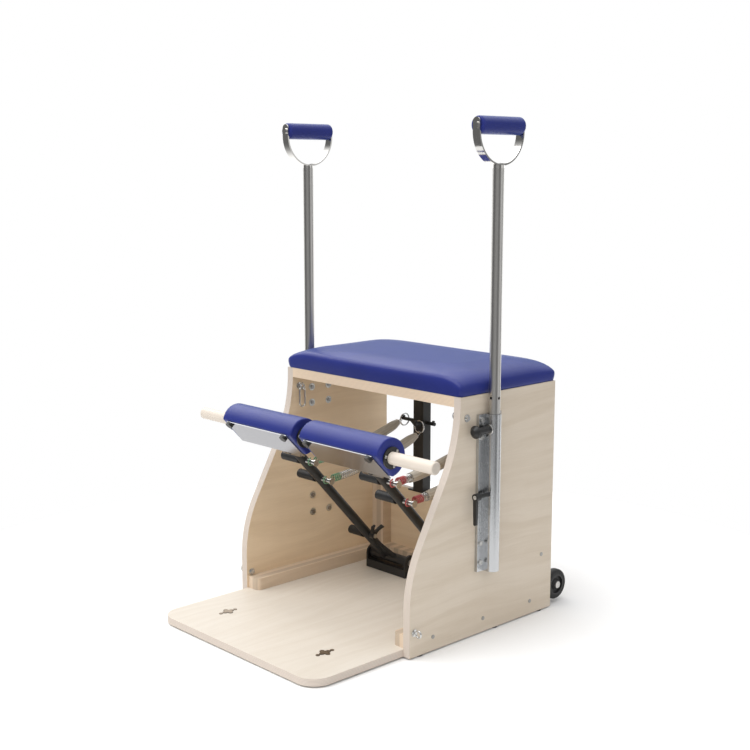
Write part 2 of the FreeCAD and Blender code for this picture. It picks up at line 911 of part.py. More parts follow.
def plunger_knob(x):
    """A mushroom knob on a boss, with the pin that reaches towards the pole."""
    seat = face_y - size.plunger_nut_thickness - size.pin_clearance
    length = size.plunger_knob_length
    radius = size.plunger_knob_radius
    boss = size.plunger_boss_radius
    half = length / 2
    head = turned(
        (
            (0, 0),
            (boss, 0),
            (boss, size.plunger_boss_length),
            (radius - half / 2, size.plunger_boss_length),
            (radius, size.plunger_boss_length + half / 2),
            (radius, size.plunger_boss_length + half),
            (radius - half, size.plunger_boss_length + length),
            (0, size.plunger_boss_length + length),
        ),
        (x, seat, size.plunger_height),
        Rotation(Vector(1, 0, 0), 90),
    )
    pin_end = pole_y - size.pole_radius - size.pin_clearance
    pin = rod("y", size.plunger_pin_radius, (x, seat, size.plunger_height), pin_end - seat)
    return fuse(head, pin)


for side, sign in SIDES:
    node("plunger_knob_" + side, plunger_knob(sign * pole_x))

# Clamp levers: a stud in the guide's wall, a hub and a tapered arm that hangs down


def clamp_lever(x):
    """A clamp lever on its stud."""
    z = size.lever_height
    out = face_y - size.lever_stud_length
    stud_end = pole_y - size.pole_radius - size.pin_clearance
    stud = rod("y", size.lever_stud_radius, (x, out, z), stud_end - out)
    hub_start = out - size.lever_hub_length + size.lever_hub_radius
    hub = rod("y", size.lever_hub_radius, (x, hub_start, z), size.lever_hub_length)
    wide = size.lever_arm_width / 2
    slim = size.lever_tip_width / 2
    low = z - size.lever_arm_length
    arm = plate(
        "XZ_Plane",
        (
            (x - wide, z),
            (x - slim, low + slim, slim, LEFT_SIDE),
            (x, low, slim, LEFT_SIDE),
            (x + slim, low + slim),
            (x + wide, z),
        ),
        size.lever_arm_thickness,
        (0, hub_start + size.lever_arm_thickness, 0),
    )
    return fuse(stud, hub, arm)


for side, sign in SIDES:
    node("clamp_lever_" + side, clamp_lever(sign * pole_x))

# Poles with D-shaped handles

strap_bottom = size.grip_height - size.strap_leg - size.strap_radius
strap_inside = size.strap_radius - size.strap_thickness


def strap(x):
    """A flat bar bent to a U, its ends rounded above the grip's axis."""
    bend_z = size.grip_height - size.strap_leg
    half = size.strap_width / 2
    end_z = size.grip_height + size.strap_end_rise
    top_z = end_z + half
    outer = size.strap_radius
    inner = strap_inside
    body = plate(
        "YZ_Plane",
        (
            (-outer, top_z),
            (-outer, bend_z, outer, LEFT_SIDE),
            (0, bend_z - outer, outer, LEFT_SIDE),
            (outer, bend_z),
            (outer, top_z),
            (inner, top_z),
            (inner, bend_z, inner, RIGHT_SIDE),
            (0, bend_z - inner, inner, RIGHT_SIDE),
            (-inner, bend_z),
            (-inner, top_z),
        ),
        size.strap_width,
        (x - half, pole_y, 0),
    )
    span = 2 * outer + 2 * size.overrun
    start = pole_y - outer - size.overrun
    corner_block = block((x - half - size.overrun, start, end_z),
                         (x + half + size.overrun, start + span, top_z + size.overrun))
    corner_waste = cut(corner_block, rod("y", half, (x, start, end_z), span))
    return cut(body, corner_waste)


def handle(x):
    """Pole, strap and the bolt that carries the grip, as they are welded together."""
    pole_top = strap_bottom + size.strap_thickness / 2
    length = pole_top - size.pole_foot_height
    pole = rod("z", size.pole_radius, (x, pole_y, size.pole_foot_height), length)
    bore_start = (x, pole_y, size.pole_foot_height - size.overrun)
    bore = rod("z", size.pole_radius - size.pole_wall, bore_start, length - size.overrun)
    holes = []
    for step in (1, 0, -1, -2):
        z = size.plunger_height + step * size.pole_hole_pitch
        side_x = x if float(x) > 0 else x - size.pole_radius - size.overrun
        holes.append(rod("x", size.pole_hole_radius, (side_x, pole_y, z), size.pole_radius + size.overrun))
        front = pole_y - size.pole_radius - size.overrun
        holes.append(rod("y", size.pole_hole_radius, (x, front, z), size.pole_radius + size.overrun))
    bolt_start = pole_y - size.strap_radius - size.grip_head_height
    bolt_length = 2 * (size.strap_radius + size.grip_head_height)
    bolt = rod("y", size.grip_bolt_radius, (x, bolt_start, size.grip_height), bolt_length)
    heads = [
        rod("y", size.grip_head_radius, (x, start, size.grip_height), size.grip_head_height)
        for start in (bolt_start, pole_y + size.strap_radius)
    ]
    return cut(fuse(pole, strap(x), bolt, *heads), bore, *holes)


def grip(x):
    """A soft sleeve between the strap's ends."""
    half = strap_inside - size.pin_clearance
    start = pole_y - half
    edge = size.grip_edge_radius
    radius = size.grip_radius
    return turned(
        (
            (size.grip_bore_radius, 0),
            (radius - edge, 0, edge, LEFT_SIDE),
            (radius, edge),
            (radius, 2 * half - edge, edge, LEFT_SIDE),
            (radius - edge, 2 * half),
            (size.grip_bore_radius, 2 * half),
        ),
        (x, start, size.grip_height),
        ALONG["y"],
    )


def pole_foot(x):
    """A plug under the pole, with a spigot that the pole turns on."""
    start = size.pole_foot_height - size.foot_plug_thickness
    cap = rod("z", size.pole_radius, (x, pole_y, start), size.foot_plug_thickness)
    spigot_radius = size.pole_radius - size.pole_wall - size.running_clearance
    spigot = rod("z", spigot_radius, (x, pole_y, size.pole_foot_height), size.foot_plug_spigot)
    return fuse(cap, spigot)


for side, sign in SIDES:
    node("handle_" + side, handle(sign * pole_x))
    node("grip_" + side, grip(sign * pole_x))
    node("pole_foot_" + side, pole_foot(sign * pole_x))

# Eye bolts on the side panels, and the rings on the spring posts


def eye_bolt(sign, y, z, inward):
    """An eye on one face of a panel, its stem through the panel, a washer and nut on the other."""
    out = -1 if inward else 1
    face = inner_x if inward else half_width
    far = half_width if inward else inner_x
    eye_x = face + out * (size.eye_stem_length + size.eye_ring_radius)
    stem_low = eye_x - out * size.eye_ring_radius
    stem_high = far - out * (size.eye_washer_thickness + size.eye_nut_height)
    if inward:
        low_x, high_x = mirrored_x(sign, stem_low, stem_high)
    else:
        low_x, high_x = mirrored_x(sign, stem_high, stem_low)
    stem = rod("x", size.eye_stem_radius, (low_x, y, z), high_x - low_x)
    eye = ring("y", size.eye_ring_radius, size.eye_wire_radius, (sign * eye_x, y, z))
    pieces = [stem, eye]
    for base, step, radius in (
        (face, out * size.eye_washer_thickness, size.eye_washer_radius),
        (far, -out * size.eye_washer_thickness, size.eye_washer_radius),
        (far, -out * (size.eye_washer_thickness + size.eye_nut_height), size.eye_nut_radius),
    ):
        first, last = (base, base + step) if float(step) > 0 else (base + step, base)
        low_x, high_x = mirrored_x(sign, first, last)
        pieces.append(rod("x", radius, (low_x, y, z), high_x - low_x))
    return fuse(*pieces)


arm_cos = cosine(size.arm_angle)
arm_sin = sine(size.arm_angle)


def on_arm(along):
    """World Y and Z of a point on a pedal arm's axis."""
    return pivot_y - along * arm_cos, size.pivot_height + along * arm_sin


def towards(start, end):
    """Unit vector between two points."""
    return (end - start).normalize()


hook_slack = size.ring_radius - size.ring_wire_radius - size.hook_radius - size.pin_clearance
ring_places = {}
rings = []
for side, sign in SIDES:
    x = post_spots[side]
    side_x = x - size.post_width / 2 - size.side_hook_length + 2 * size.hook_radius + size.ring_tip_gap
    front_x = x + size.front_hook_shift
    hang_y = post_front - size.front_hook_length + 2 * size.hook_radius + size.ring_tip_gap
    ring_places[side, "upper"] = (side_x, post_y - hook_slack, size.hook_height)
    ring_places[side, "lower"] = (front_x, hang_y, size.hook_height - hook_slack)
    rings.append(ring("x", size.ring_radius, size.ring_wire_radius, ring_places[side, "upper"]))
    rings.append(ring("y", size.ring_radius, size.ring_wire_radius, ring_places[side, "lower"]))
eyes = []
for side, sign in SIDES:
    for (y, z), inward in zip(eye_spots, (True, False)):
        eyes.append(eye_bolt(sign, y, z, inward))
node("eyes_and_rings", group(*eyes, *rings))


def snap_hook():
    """A wire link that hangs in the left panel's upper eye."""
    bend = float(size.snap_bend_radius)
    length = float(size.snap_length)
    eye_x = -float(inner_x - size.eye_stem_length - size.eye_ring_radius)
    y, z = (float(value) for value in eye_spots[0])
    sink = size.eye_ring_radius - size.eye_wire_radius - size.snap_wire_radius - size.pin_clearance
    top = z - float(sink) - bend
    low = top - length
    crown = Vector(eye_x, y, top + bend)
    runs = [
        Part.Arc(Vector(eye_x, y + bend, top), crown, Vector(eye_x, y - bend, top)).toShape(),
        Part.LineSegment(Vector(eye_x, y - bend, top), Vector(eye_x, y - bend, low)).toShape(),
        Part.Arc(
            Vector(eye_x, y - bend, low),
            Vector(eye_x, y, low - bend),
            Vector(eye_x, y + bend, low),
        ).toShape(),
        Part.LineSegment(Vector(eye_x, y + bend, low), Vector(eye_x, y + bend, top)).toShape(),
    ]
    start = Vector(eye_x, y + bend, top)
    section = Part.Wire([Part.Circle(start, Vector(0, 0, 1), float(size.snap_wire_radius)).toShape()])
    sweep = Part.BRepOffsetAPI.MakePipeShell(Part.Wire(runs))
    sweep.add(section)
    sweep.build()
    sweep.makeSolid()
    return solid(sweep.shape())


node("snap_hook", snap_hook())

# Rear wheels on brackets behind the back panel

wheel_y = back_y + size.wheel_setback
wheel_brackets = []
wheel_axles = []
bracket_gap = size.wheel_width / 2 + size.wheel_spacer_length
for side, sign in SIDES:
    middle = half_width - size.wheel_inset
    wall_x = middle - bracket_gap
    low_x, high_x = mirrored_x(sign, wall_x - size.wheel_bracket_thickness, wall_x)
    bend = size.wheel_bracket_radius
    z = size.wheel_height
    cheek = plate(
        "YZ_Plane",
        (
            (back_face, z - bend),
            (wheel_y, z - bend, bend, LEFT_SIDE),
            (wheel_y + bend, z, bend, LEFT_SIDE),
            (wheel_y, z + bend),
            (back_face, z + bend),
        ),
        size.wheel_bracket_thickness,
        (low_x, 0, 0),
    )
    flange_low, flange_high = mirrored_x(sign, wall_x - size.wheel_bracket_flange, wall_x)
    flange_back = back_face + size.wheel_bracket_thickness
    flange = block((flange_low, back_face, z - bend), (flange_high, flange_back, z + bend))
    hole = rod("x", size.wheel_axle_radius, (low_x - size.overrun, wheel_y, z),
               size.wheel_bracket_thickness + 2 * size.overrun)
    wheel_brackets.append(cut(fuse(cheek, flange), hole))
    inner_end = wall_x - size.wheel_bracket_thickness
    outer_end = middle + size.wheel_width / 2 + size.pin_clearance
    pieces = []
    for start, end, radius in (
        (inner_end - size.axle_head_height, inner_end, size.axle_head_radius),
        (inner_end, outer_end, size.wheel_axle_radius),
        (wall_x, wall_x + size.wheel_spacer_length - size.pin_clearance, size.wheel_spacer_radius),
        (outer_end, outer_end + size.axle_head_height, size.axle_head_radius),
    ):
        low_x, high_x = mirrored_x(sign, start, end)
        pieces.append(rod("x", radius, (low_x, wheel_y, z), high_x - low_x))
    wheel_axles.append(fuse(*pieces))
    start_x, end_x = mirrored_x(sign, middle - size.wheel_width / 2, middle + size.wheel_width / 2)
    width = size.wheel_width
    shoulder = size.tyre_shoulder
    tyre = turned(
        (
            (size.hub_radius, 0),
            (size.wheel_radius - shoulder, 0, shoulder, LEFT_SIDE),
            (size.wheel_radius, shoulder),
            (size.wheel_radius, width - shoulder, shoulder, LEFT_SIDE),
            (size.wheel_radius - shoulder, width),
            (size.hub_radius, width),
        ),
        (start_x, wheel_y, z),
        ALONG["x"],
    )
    recess = size.hub_recess
    hub = turned(
        (
            (size.wheel_axle_radius + size.running_clearance, 0),
            (size.hub_boss_radius, 0),
            (size.hub_boss_radius + size.hub_rim, recess),
            (size.hub_radius - size.hub_rim, recess),
            (size.hub_radius - size.hub_rim, 0),
            (size.hub_radius, 0),
            (size.hub_radius, width),
            (size.hub_radius - size.hub_rim, width),
            (size.hub_radius - size.hub_rim, width - recess),
            (size.hub_boss_radius + size.hub_rim, width - recess),
            (size.hub_boss_radius, width),
            (size.wheel_axle_radius + size.running_clearance, width),
        ),
        (start_x, wheel_y, z),
        ALONG["x"],
    )
    node("wheel_tyre_" + side, tyre)
    node("wheel_hub_" + side, hub)
node("wheel_brackets", group(*wheel_brackets))

# Pivot brackets on the base board, one for each pedal, with their axles

axles = []


def bracket_ends(side, sign):
    """Low and high X of a pedal's pivot bracket."""
    outer = sign * size.bracket_outer_reach
    inner = -sign * size.bracket_inner_reach
    low, high = (inner, outer) if sign > 0 else (outer, inner)
    return arm_x[side] + low, arm_x[side] + high


for side, sign in SIDES:
    low_x, high_x = bracket_ends(side, sign)
    half = size.bracket_depth / 2
    wall = size.bracket_wall
    low_y = pivot_y - half
    high_y = pivot_y + half
    base_high = base_top + size.bracket_base_height
    channel = cut(
        block((low_x, low_y, base_top), (high_x, high_y, base_high)),
        block((low_x - size.overrun, low_y + wall, base_top - size.overrun),
              (high_x + size.overrun, high_y - wall, base_high - wall)),
    )
    ears = []
    for start in (low_x, high_x - size.ear_thickness):
        ears.append(plate(
            "YZ_Plane",
            (
                (low_y, base_top),
                (high_y, base_top),
                (high_y, size.pivot_height, half, LEFT_SIDE),
                (pivot_y, size.pivot_height + half, half, LEFT_SIDE),
                (low_y, size.pivot_height),
            ),
            size.ear_thickness,
            (start, 0, 0),
        ))
    length = high_x - low_x
    hole_spot = (low_x - size.overrun, pivot_y, size.pivot_height)
    hole = rod("x", size.axle_radius, hole_spot, length + 2 * size.overrun)
    node("pivot_bracket_" + side, cut(fuse(channel, *ears), hole))
    head = size.axle_head_height
    head_radius = size.axle_radius + size.axle_head_height
    axles.append(fuse(
        rod("x", size.axle_radius, (low_x, pivot_y, size.pivot_height), length),
        rod("x", head_radius, (low_x - head, pivot_y, size.pivot_height), head),
        rod("x", head_radius, (high_x, pivot_y, size.pivot_height), head),
    ))
node("axles", group(*axles, *wheel_axles))

# Pedals: each is drawn with its arm level, pointing to -Y from the pivot, then raised


def raise_pedal(side, item):
    """Put a piece that is drawn about the pivot on its raised pedal."""
    place(item, (arm_x[side], pivot_y, size.pivot_height), Rotation(Vector(1, 0, 0), -float(size.arm_angle)))
    bind(item, "Placement.Rotation.Angle", -size.arm_angle)
    return item


pad_y = -size.pad_place
pad_z = -size.pad_rise
flat_z = pad_z - size.pad_flat
flat_half = root(size.pad_radius * size.pad_radius - size.pad_flat * size.pad_flat)
plate_under = flat_z - size.plate_thickness
arm_under = -size.arm_radius
bar_fit = size.bar_radius + size.running_clearance
bar_places = (size.low_bar_place, size.middle_bar_place, size.high_bar_place)
bush_outer = size.axle_radius + size.pivot_bush_wall
dowel_fit = size.dowel_radius + size.running_clearance
dowel_bush_outer = size.dowel_radius + size.dowel_bush_wall
pad_bolt_y = -(size.pad_place + flat_half - size.pad_bolt_margin)
pad_bolt_reach = pad_reach - size.pad_bolt_end_margin


def pivot_span(side, sign):
    """Low and high X of the pivot tube, measured from the arm."""
    low_x, high_x = bracket_ends(side, sign)
    gap = size.ear_thickness + size.pivot_end_gap
    return low_x + gap - arm_x[side], high_x - gap - arm_x[side]


def pedal_arm(side, sign):
    """Arm tube, gusset and pivot tube, welded together."""
    low_x, high_x = pivot_span(side, sign)
    pivot_tube = rod("x", size.pivot_tube_radius, (low_x, 0, 0), high_x - low_x)
    arm = rod("y", size.arm_radius, (0, -size.arm_length, 0), size.arm_length)
    foot = size.gusset_foot
    gusset = plate(
        "XY_Plane",
        (
            (foot, 0),
            (-foot, 0),
            (-foot, -size.pivot_tube_radius),
            (-size.arm_radius, -size.gusset_length),
            (size.arm_radius, -size.gusset_length),
            (foot, -size.pivot_tube_radius),
        ),
        size.gusset_thickness,
        (0, 0, -size.gusset_thickness / 2),
    )
    bores = [rod("x", bush_outer, (low_x - size.overrun, 0, 0), high_x - low_x + 2 * size.overrun)]
    hollow_end = -size.arm_length - size.overrun
    hollow = size.arm_length - size.gusset_length + size.overrun
    bores.append(rod("y", size.arm_radius - size.arm_wall, (0, hollow_end, 0), hollow))
    across = -size.arm_radius - size.overrun
    for along in bar_places:
        bores.append(rod("x", bar_fit, (across, -along, 0), -2 * across))
    for along in (size.tab_bolt_place_one, size.tab_bolt_place_two):
        bores.append(rod("z", size.tab_bolt_radius, (0, -along, across), -across))
    return cut(fuse(pivot_tube, arm, gusset), *bores)


def pivot_bushes(side, sign):
    """Two plain bushes in the ends of the pivot tube."""
    low_x, high_x = pivot_span(side, sign)
    bore = size.axle_radius + size.running_clearance
    return [
        tube("x", bush_outer, bore, (start, 0, 0), size.pivot_bush_length)
        for start in (low_x, high_x - size.pivot_bush_length)
    ]


def cross_bars():
    """Two spring bars with end caps, and the lower bar that the wing knob closes."""
    cap = size.bar_cap_thickness
    pieces = []
    for along in (size.middle_bar_place, size.high_bar_place):
        reach = size.bar_outer_reach + size.bar_inner_reach
        pieces.append(fuse(
            rod("x", size.bar_radius, (-size.bar_outer_reach, -along, 0), reach),
            rod("x", size.bar_cap_radius, (-size.bar_outer_reach - cap, -along, 0), cap),
            rod("x", size.bar_cap_radius, (size.bar_inner_reach, -along, 0), cap),
        ))
    along = size.low_bar_place
    reach = size.low_bar_outer_reach + size.low_bar_inner_reach
    pieces.append(fuse(
        rod("x", size.bar_radius, (-size.low_bar_outer_reach, -along, 0), reach),
        rod("x", size.bar_cap_radius, (-size.low_bar_outer_reach - cap, -along, 0), cap),
    ))
    return group(*pieces)


def bar_sleeves():
    """Soft sleeves on the outer stubs of the three bars."""
    pieces = []
    for along, outer in (
        (size.low_bar_place, size.low_bar_outer_reach),
        (size.middle_bar_place, size.bar_outer_reach),
        (size.high_bar_place, size.bar_outer_reach),
    ):
        length = outer - size.arm_radius - size.bar_sleeve_gap
        pieces.append(tube("x", size.bar_sleeve_radius, bar_fit, (-outer, -along, 0), length))
    return group(*pieces)


def pedal_plate():
    """A bent plate: a narrow tab along the arm, a joggle and a wide plate on the pad's flat."""
    low = arm_under - size.plate_thickness
    start = pad_y + flat_half + size.plate_lip
    run = -size.tab_end - start
    drop = low - plate_under
    shift = size.plate_thickness * (root(run * run + drop * drop) - run) / drop
    bend = plate(
        "YZ_Plane",
        (
            (-size.tab_start, arm_under),
            (-size.tab_start, low),
            (-size.tab_end, low),
            (start, plate_under),
            (pad_y, plate_under),
            (pad_y, flat_z),
            (start - shift, flat_z),
            (-size.tab_end - shift, arm_under),
        ),
        size.tab_width,
        (-size.tab_width / 2, 0, 0),
    )
    wide = plate(
        "XY_Plane",
        (
            (pad_reach - size.plate_foot_margin, start),
            (size.plate_foot_margin - pad_reach, start),
            (size.plate_top_margin - pad_reach, pad_y - flat_half + size.plate_edge_margin),
            (pad_reach - size.plate_top_margin, pad_y - flat_half + size.plate_edge_margin),
        ),
        size.plate_thickness,
        (0, 0, plate_under),
    )
    deep = size.plate_thickness + 2 * size.overrun
    holes = [
        rod("z", size.pad_bolt_radius, (reach, pad_bolt_y, plate_under - size.overrun), deep)
        for reach in (-pad_bolt_reach, pad_bolt_reach)
    ]
    holes += [
        rod("z", size.tab_bolt_radius, (0, -along, low - size.overrun), deep)
        for along in (size.tab_bolt_place_one, size.tab_bolt_place_two)
    ]
    return cut(fuse(bend, wide), *holes)


def plate_bolts():
    """Two round-headed bolts into the pad and two through the tab into the arm."""
    pieces = []
    for reach in (-pad_bolt_reach, pad_bolt_reach):
        low = plate_under - size.pad_bolt_head_height
        depth = size.pad_bolt_head_height + size.plate_thickness + size.pad_bolt_depth
        pieces.append(fuse(
            rod("z", size.pad_bolt_head_radius, (reach, pad_bolt_y, low), size.pad_bolt_head_height),
            rod("z", size.pad_bolt_radius, (reach, pad_bolt_y, low), depth),
        ))
    for along in (size.tab_bolt_place_one, size.tab_bolt_place_two):
        low = arm_under - size.plate_thickness - size.tab_bolt_head_height
        depth = size.tab_bolt_head_height + size.plate_thickness + size.arm_wall
        pieces.append(fuse(
            rod("z", size.tab_bolt_head_radius, (0, -along, low), size.tab_bolt_head_height),
            rod("z", size.tab_bolt_radius, (0, -along, low), depth),
        ))
    return group(*pieces)


def pedal_pad():
    """A padded roll with a flat for its plate, soft edges and a bore for the dowel."""
    radius = size.pad_radius
    roll = plate(
        "YZ_Plane",
        (
            (pad_y - flat_half, flat_z),
            (pad_y + flat_half, flat_z, radius, LEFT_SIDE),
            (pad_y + radius, pad_z, radius, LEFT_SIDE),
            (pad_y, pad_z + radius, radius, LEFT_SIDE),
            (pad_y - radius, pad_z, radius, LEFT_SIDE),
        ),
        pad_length,
        (0, 0, 0),
    )
    on_flat = float(flat_z + size.overrun)
    thin = float(size.pad_edge_radius)
    soften(
        roll,
        size.pad_corner_radius,
        lambda edge: edge.BoundBox.XLength > thin and edge.BoundBox.ZMax < on_flat,
    )
    soften(roll, size.pad_edge_radius, lambda edge: edge.BoundBox.XLength < thin)
    place(roll, (-pad_reach, 0, 0))
    start = -pad_reach - size.overrun
    bores = [rod("x", dowel_bush_outer, (start, pad_y, pad_z), -2 * start)]
    for reach in (-pad_bolt_reach, pad_bolt_reach):
        depth = size.pad_bolt_depth + size.overrun
        bores.append(rod("z", size.pad_bolt_radius, (reach, pad_bolt_y, flat_z - size.overrun), depth))
    return cut(roll, *bores)


def dowel_bushes():
    """A flanged bush in each end of the pad."""
    pieces = []
    thick = size.dowel_flange_thickness
    for sign in (-1, 1):
        low, high = (-pad_reach, -pad_reach + size.dowel_bush_depth)
        flange = -pad_reach - thick
        if sign > 0:
            low, high = (pad_reach - size.dowel_bush_depth, pad_reach)
            flange = pad_reach
        start = (low if sign > 0 else flange) - size.overrun
        barrel = rod("x", dowel_bush_outer, (low, pad_y, pad_z), high - low)
        collar = rod("x", size.dowel_flange_radius, (flange, pad_y, pad_z), thick)
        bore = rod("x", dowel_fit, (start, pad_y, pad_z), size.dowel_bush_depth + thick + 2 * size.overrun)
        pieces.append(cut(fuse(barrel, collar), bore))
    return pieces


def wing_knob():
    """A wing knob on the inner end of the lower bar: two wings in a V, flared outwards."""
    start = size.arm_radius + size.pin_clearance
    y = -size.low_bar_place
    end = start + size.wing_hub_length
    hub = rod("x", size.wing_hub_radius, (start, y, 0), size.wing_hub_length)
    corners = (
        (end - size.wing_root, 0),
        (end - size.wing_root / 2, size.wing_span / 2),
        (end + size.wing_flare - size.wing_tip, size.wing_span, size.wing_tip_radius, RIGHT_SIDE),
        (end + size.wing_flare, size.wing_span, size.wing_span, LEFT_SIDE),
        (end, 0),
    )
    half = size.wing_thickness / 2
    wings = []
    for lean in (size.wing_lean - size.wing_spread, size.wing_lean + size.wing_spread):
        spot = (0, y + half * sine(lean), -half * cosine(lean))
        wing = plate("XY_Plane", corners, size.wing_thickness, spot, Rotation(Vector(1, 0, 0), float(lean)))
        bind(wing, "Placement.Rotation.Angle", lean)
        wings.append(wing)
    bore_length = size.wing_hub_length + size.wing_flare + 2 * size.overrun
    bore = rod("x", bar_fit, (start - size.overrun, y, 0), bore_length)
    return cut(fuse(hub, *wings), bore)


for side, sign in SIDES:
    for name, item in (
        ("pedal_arm_", pedal_arm(side, sign)),
        ("bushes_", group(*pivot_bushes(side, sign), *dowel_bushes())),
        ("cross_bars_", cross_bars()),
        ("bar_sleeves_", bar_sleeves()),
        ("pedal_plate_", pedal_plate()),
        ("plate_bolts_", plate_bolts()),
        ("pedal_pad_", pedal_pad()),
        ("wing_knob_", wing_knob()),
    ):
        node(name + side, raise_pedal(side, item))

# The dowel that joins the two pedals


def dowel():
    """A wooden rod with chamfered ends."""
    y = pivot_y - size.pad_place * arm_cos - size.pad_rise * arm_sin
    z = size.pivot_height + size.pad_place * arm_sin - size.pad_rise * arm_cos
    edge = size.dowel_edge
    length = size.dowel_length
    radius = size.dowel_radius
    return turned(
        (
            (0, 0),
            (radius - edge, 0),
            (radius, edge),
            (radius, length - edge),
            (radius - edge, length),
            (0, length),
        ),
        (-length / 2, y, z),
        ALONG["x"],
    )


node("dowel", dowel())

# Springs: an eye on a pedal bar, an open stretch, a sleeved stretch and a hook on a ring


def biarc(start, start_way, end, end_way):
    """Two arcs that leave one point and reach another in given directions."""
    run = end - start
    sum_way = start_way + end_way
    bend = 2 * (1 - start_way.dot(end_way))
    along = run.dot(sum_way)
    if bend < 1e-9:
        reach = run.dot(run) / (2 * along)
    else:
        reach = (math.sqrt(along * along + bend * run.dot(run)) - along) / bend
    joint = (start + start_way * reach + end - end_way * reach) / 2
    pieces = []
    for first, way, last in ((start, start_way, joint), (end, -end_way, joint)):
        chord = last - first
        middle = (first + last) / 2
        lean = way - chord * (way.dot(chord) / chord.dot(chord))
        if lean.Length < 1e-7:
            pieces.append(Part.LineSegment(first, last))
            continue
        angle = way.getAngle(chord)
        crown = middle + lean.normalize() * (chord.Length / 2 * math.tan(angle / 2))
        pieces.append(Part.Arc(first, crown, last))
    forward = pieces[0].toShape()
    backward = pieces[1].toShape().reversed()
    return [forward, backward]


class SpringLine:
    """The middle line of a spring, from its pedal eye to its ring, hanging a little."""

    def __init__(self, start, end):
        self.start = start
        self.end = end
        self.sag = float(size.spring_sag)

    def point(self, share):
        drop = 4 * self.sag * share * (1 - share)
        return self.start + (self.end - self.start) * share - Vector(0, 0, drop)

    def way(self, share):
        step = 1e-4
        return towards(self.point(share - step), self.point(share + step))

    def frame(self, share):
        way = self.way(share)
        across = Vector(1, 0, 0)
        across = (across - way * across.dot(way)).normalize()
        return across, way.cross(across)


OPEN_TURNS = {"left": LEFT_OPEN_TURNS, "right": RIGHT_OPEN_TURNS}
OPEN_SHARES = {"left": LEFT_OPEN_SHARE, "right": RIGHT_OPEN_SHARE}


def coil_stations(line, side, hook_across):
    """Points and directions along a spring's wire, half a turn apart in the coil."""
    length = (line.end - line.start).Length
    wire = float(size.spring_wire_radius)
    coil = float(size.spring_coil_radius)
    lead_share = float(size.spring_lead) / length
    eye = float(size.bar_radius + size.pin_clearance) + wire
    hook = float(size.ring_wire_radius + size.pin_clearance) + wire
    across, up = line.frame(0)
    way = line.way(0)
    stations = [
        (line.point(0) - up * eye, -way),
        (line.point(0) - way * eye, up),
        (line.point(0) + up * eye, way),
    ]
    open_turns = OPEN_TURNS[side]
    first = lead_share + eye / length
    last = 1 - lead_share - hook / length
    switch = OPEN_SHARES[side]
    quarter = 0.25 if hook_across else 0.5
    total = 2 * (open_turns + SLEEVED_TURNS)

    def place_at(half_turn):
        turns = half_turn / 2
        if turns <= open_turns:
            return first + (switch - first) * turns / open_turns
        return switch + (last - switch) * (turns - open_turns) / (SLEEVED_TURNS + quarter - 0.5)

    def on_coil(half_turn):
        share = place_at(half_turn)
        side_way, up_way = line.frame(share)
        angle = math.pi * (half_turn + 0.5)
        return line.point(share) + (side_way * math.cos(angle) + up_way * math.sin(angle)) * coil

    step = 0.01
    for half_turn in range(1, total):
        stations.append((on_coil(half_turn), towards(on_coil(half_turn - step), on_coil(half_turn + step))))
    end_across, end_up = line.frame(1)
    out = end_across if hook_across else end_up
    way = line.way(1)
    stations += [
        (line.point(1) + out * hook, way),
        (line.point(1) + way * hook, -out),
        (line.point(1) - out * hook, -way),
    ]
    return stations


def spring_wire(stations):
    """One unbroken wire through the stations, swept with a round section."""
    edges = []
    for (start, start_way), (end, end_way) in zip(stations, stations[1:]):
        edges += biarc(start, start_way, end, end_way)
    path = Part.Wire(edges)
    radius = float(size.spring_wire_radius)
    section = Part.Wire([Part.Circle(stations[0][0], stations[0][1], radius).toShape()])
    sweep = Part.BRepOffsetAPI.MakePipeShell(path)
    sweep.add(section)
    sweep.build()
    sweep.makeSolid()
    return sweep.shape(), path


def least_gap(path):
    """Smallest gap between stretches of a wire that lie over a quarter turn apart."""
    count = 900
    points = path.discretize(Number=count)
    spacing = path.Length / (count - 1)
    wire = float(size.spring_wire_radius)
    loop = float(size.ring_wire_radius + size.pin_clearance + size.spring_wire_radius)
    apart = math.ceil(math.pi * loop / spacing)
    least = min(
        points[i].distanceToPoint(points[j])
        for i in range(count)
        for j in range(i + apart, min(count, i + 12 * apart))
    )
    return least - 2 * wire


def spring_sleeve(line, side):
    """A hollow fabric sleeve over the rest of a spring."""
    length = (line.end - line.start).Length
    start = OPEN_SHARES[side]
    end = 1 - float(size.spring_lead) / length
    middle = (start + end) / 2
    spine = Part.Wire([Part.Arc(line.point(start), line.point(middle), line.point(end)).toShape()])
    tangent = line.way(start)
    tubes = []
    for radius in (float(size.sleeve_radius), float(size.sleeve_radius - size.sleeve_wall)):
        disc = Part.Face(Part.Wire([Part.Circle(line.point(start), tangent, radius).toShape()]))
        tubes.append(spine.makePipe(disc))
    return tubes[0].cut(tubes[1])


smallest = []
for side, sign in SIDES:
    for level, along, hook_across in (
        ("upper", size.high_bar_place, True),
        ("lower", size.middle_bar_place, False),
    ):
        y, z = on_arm(along)
        start = Vector(float(arm_x[side] + size.spring_eye_shift), float(y), float(z))
        centre = Vector(*[float(length) for length in ring_places[side, level]])
        pull = Vector(0, -1, 0) if hook_across else Vector(0, 0, -1)
        line = SpringLine(start, centre + pull * float(size.ring_radius))
        shape, path = spring_wire(coil_stations(line, side, hook_across))
        smallest.append(least_gap(path))
        node(f"spring_{level}_{side}", solid(shape))
        node(f"spring_sleeve_{level}_{side}", solid(spring_sleeve(line, side)))

# Check every object, then write each node

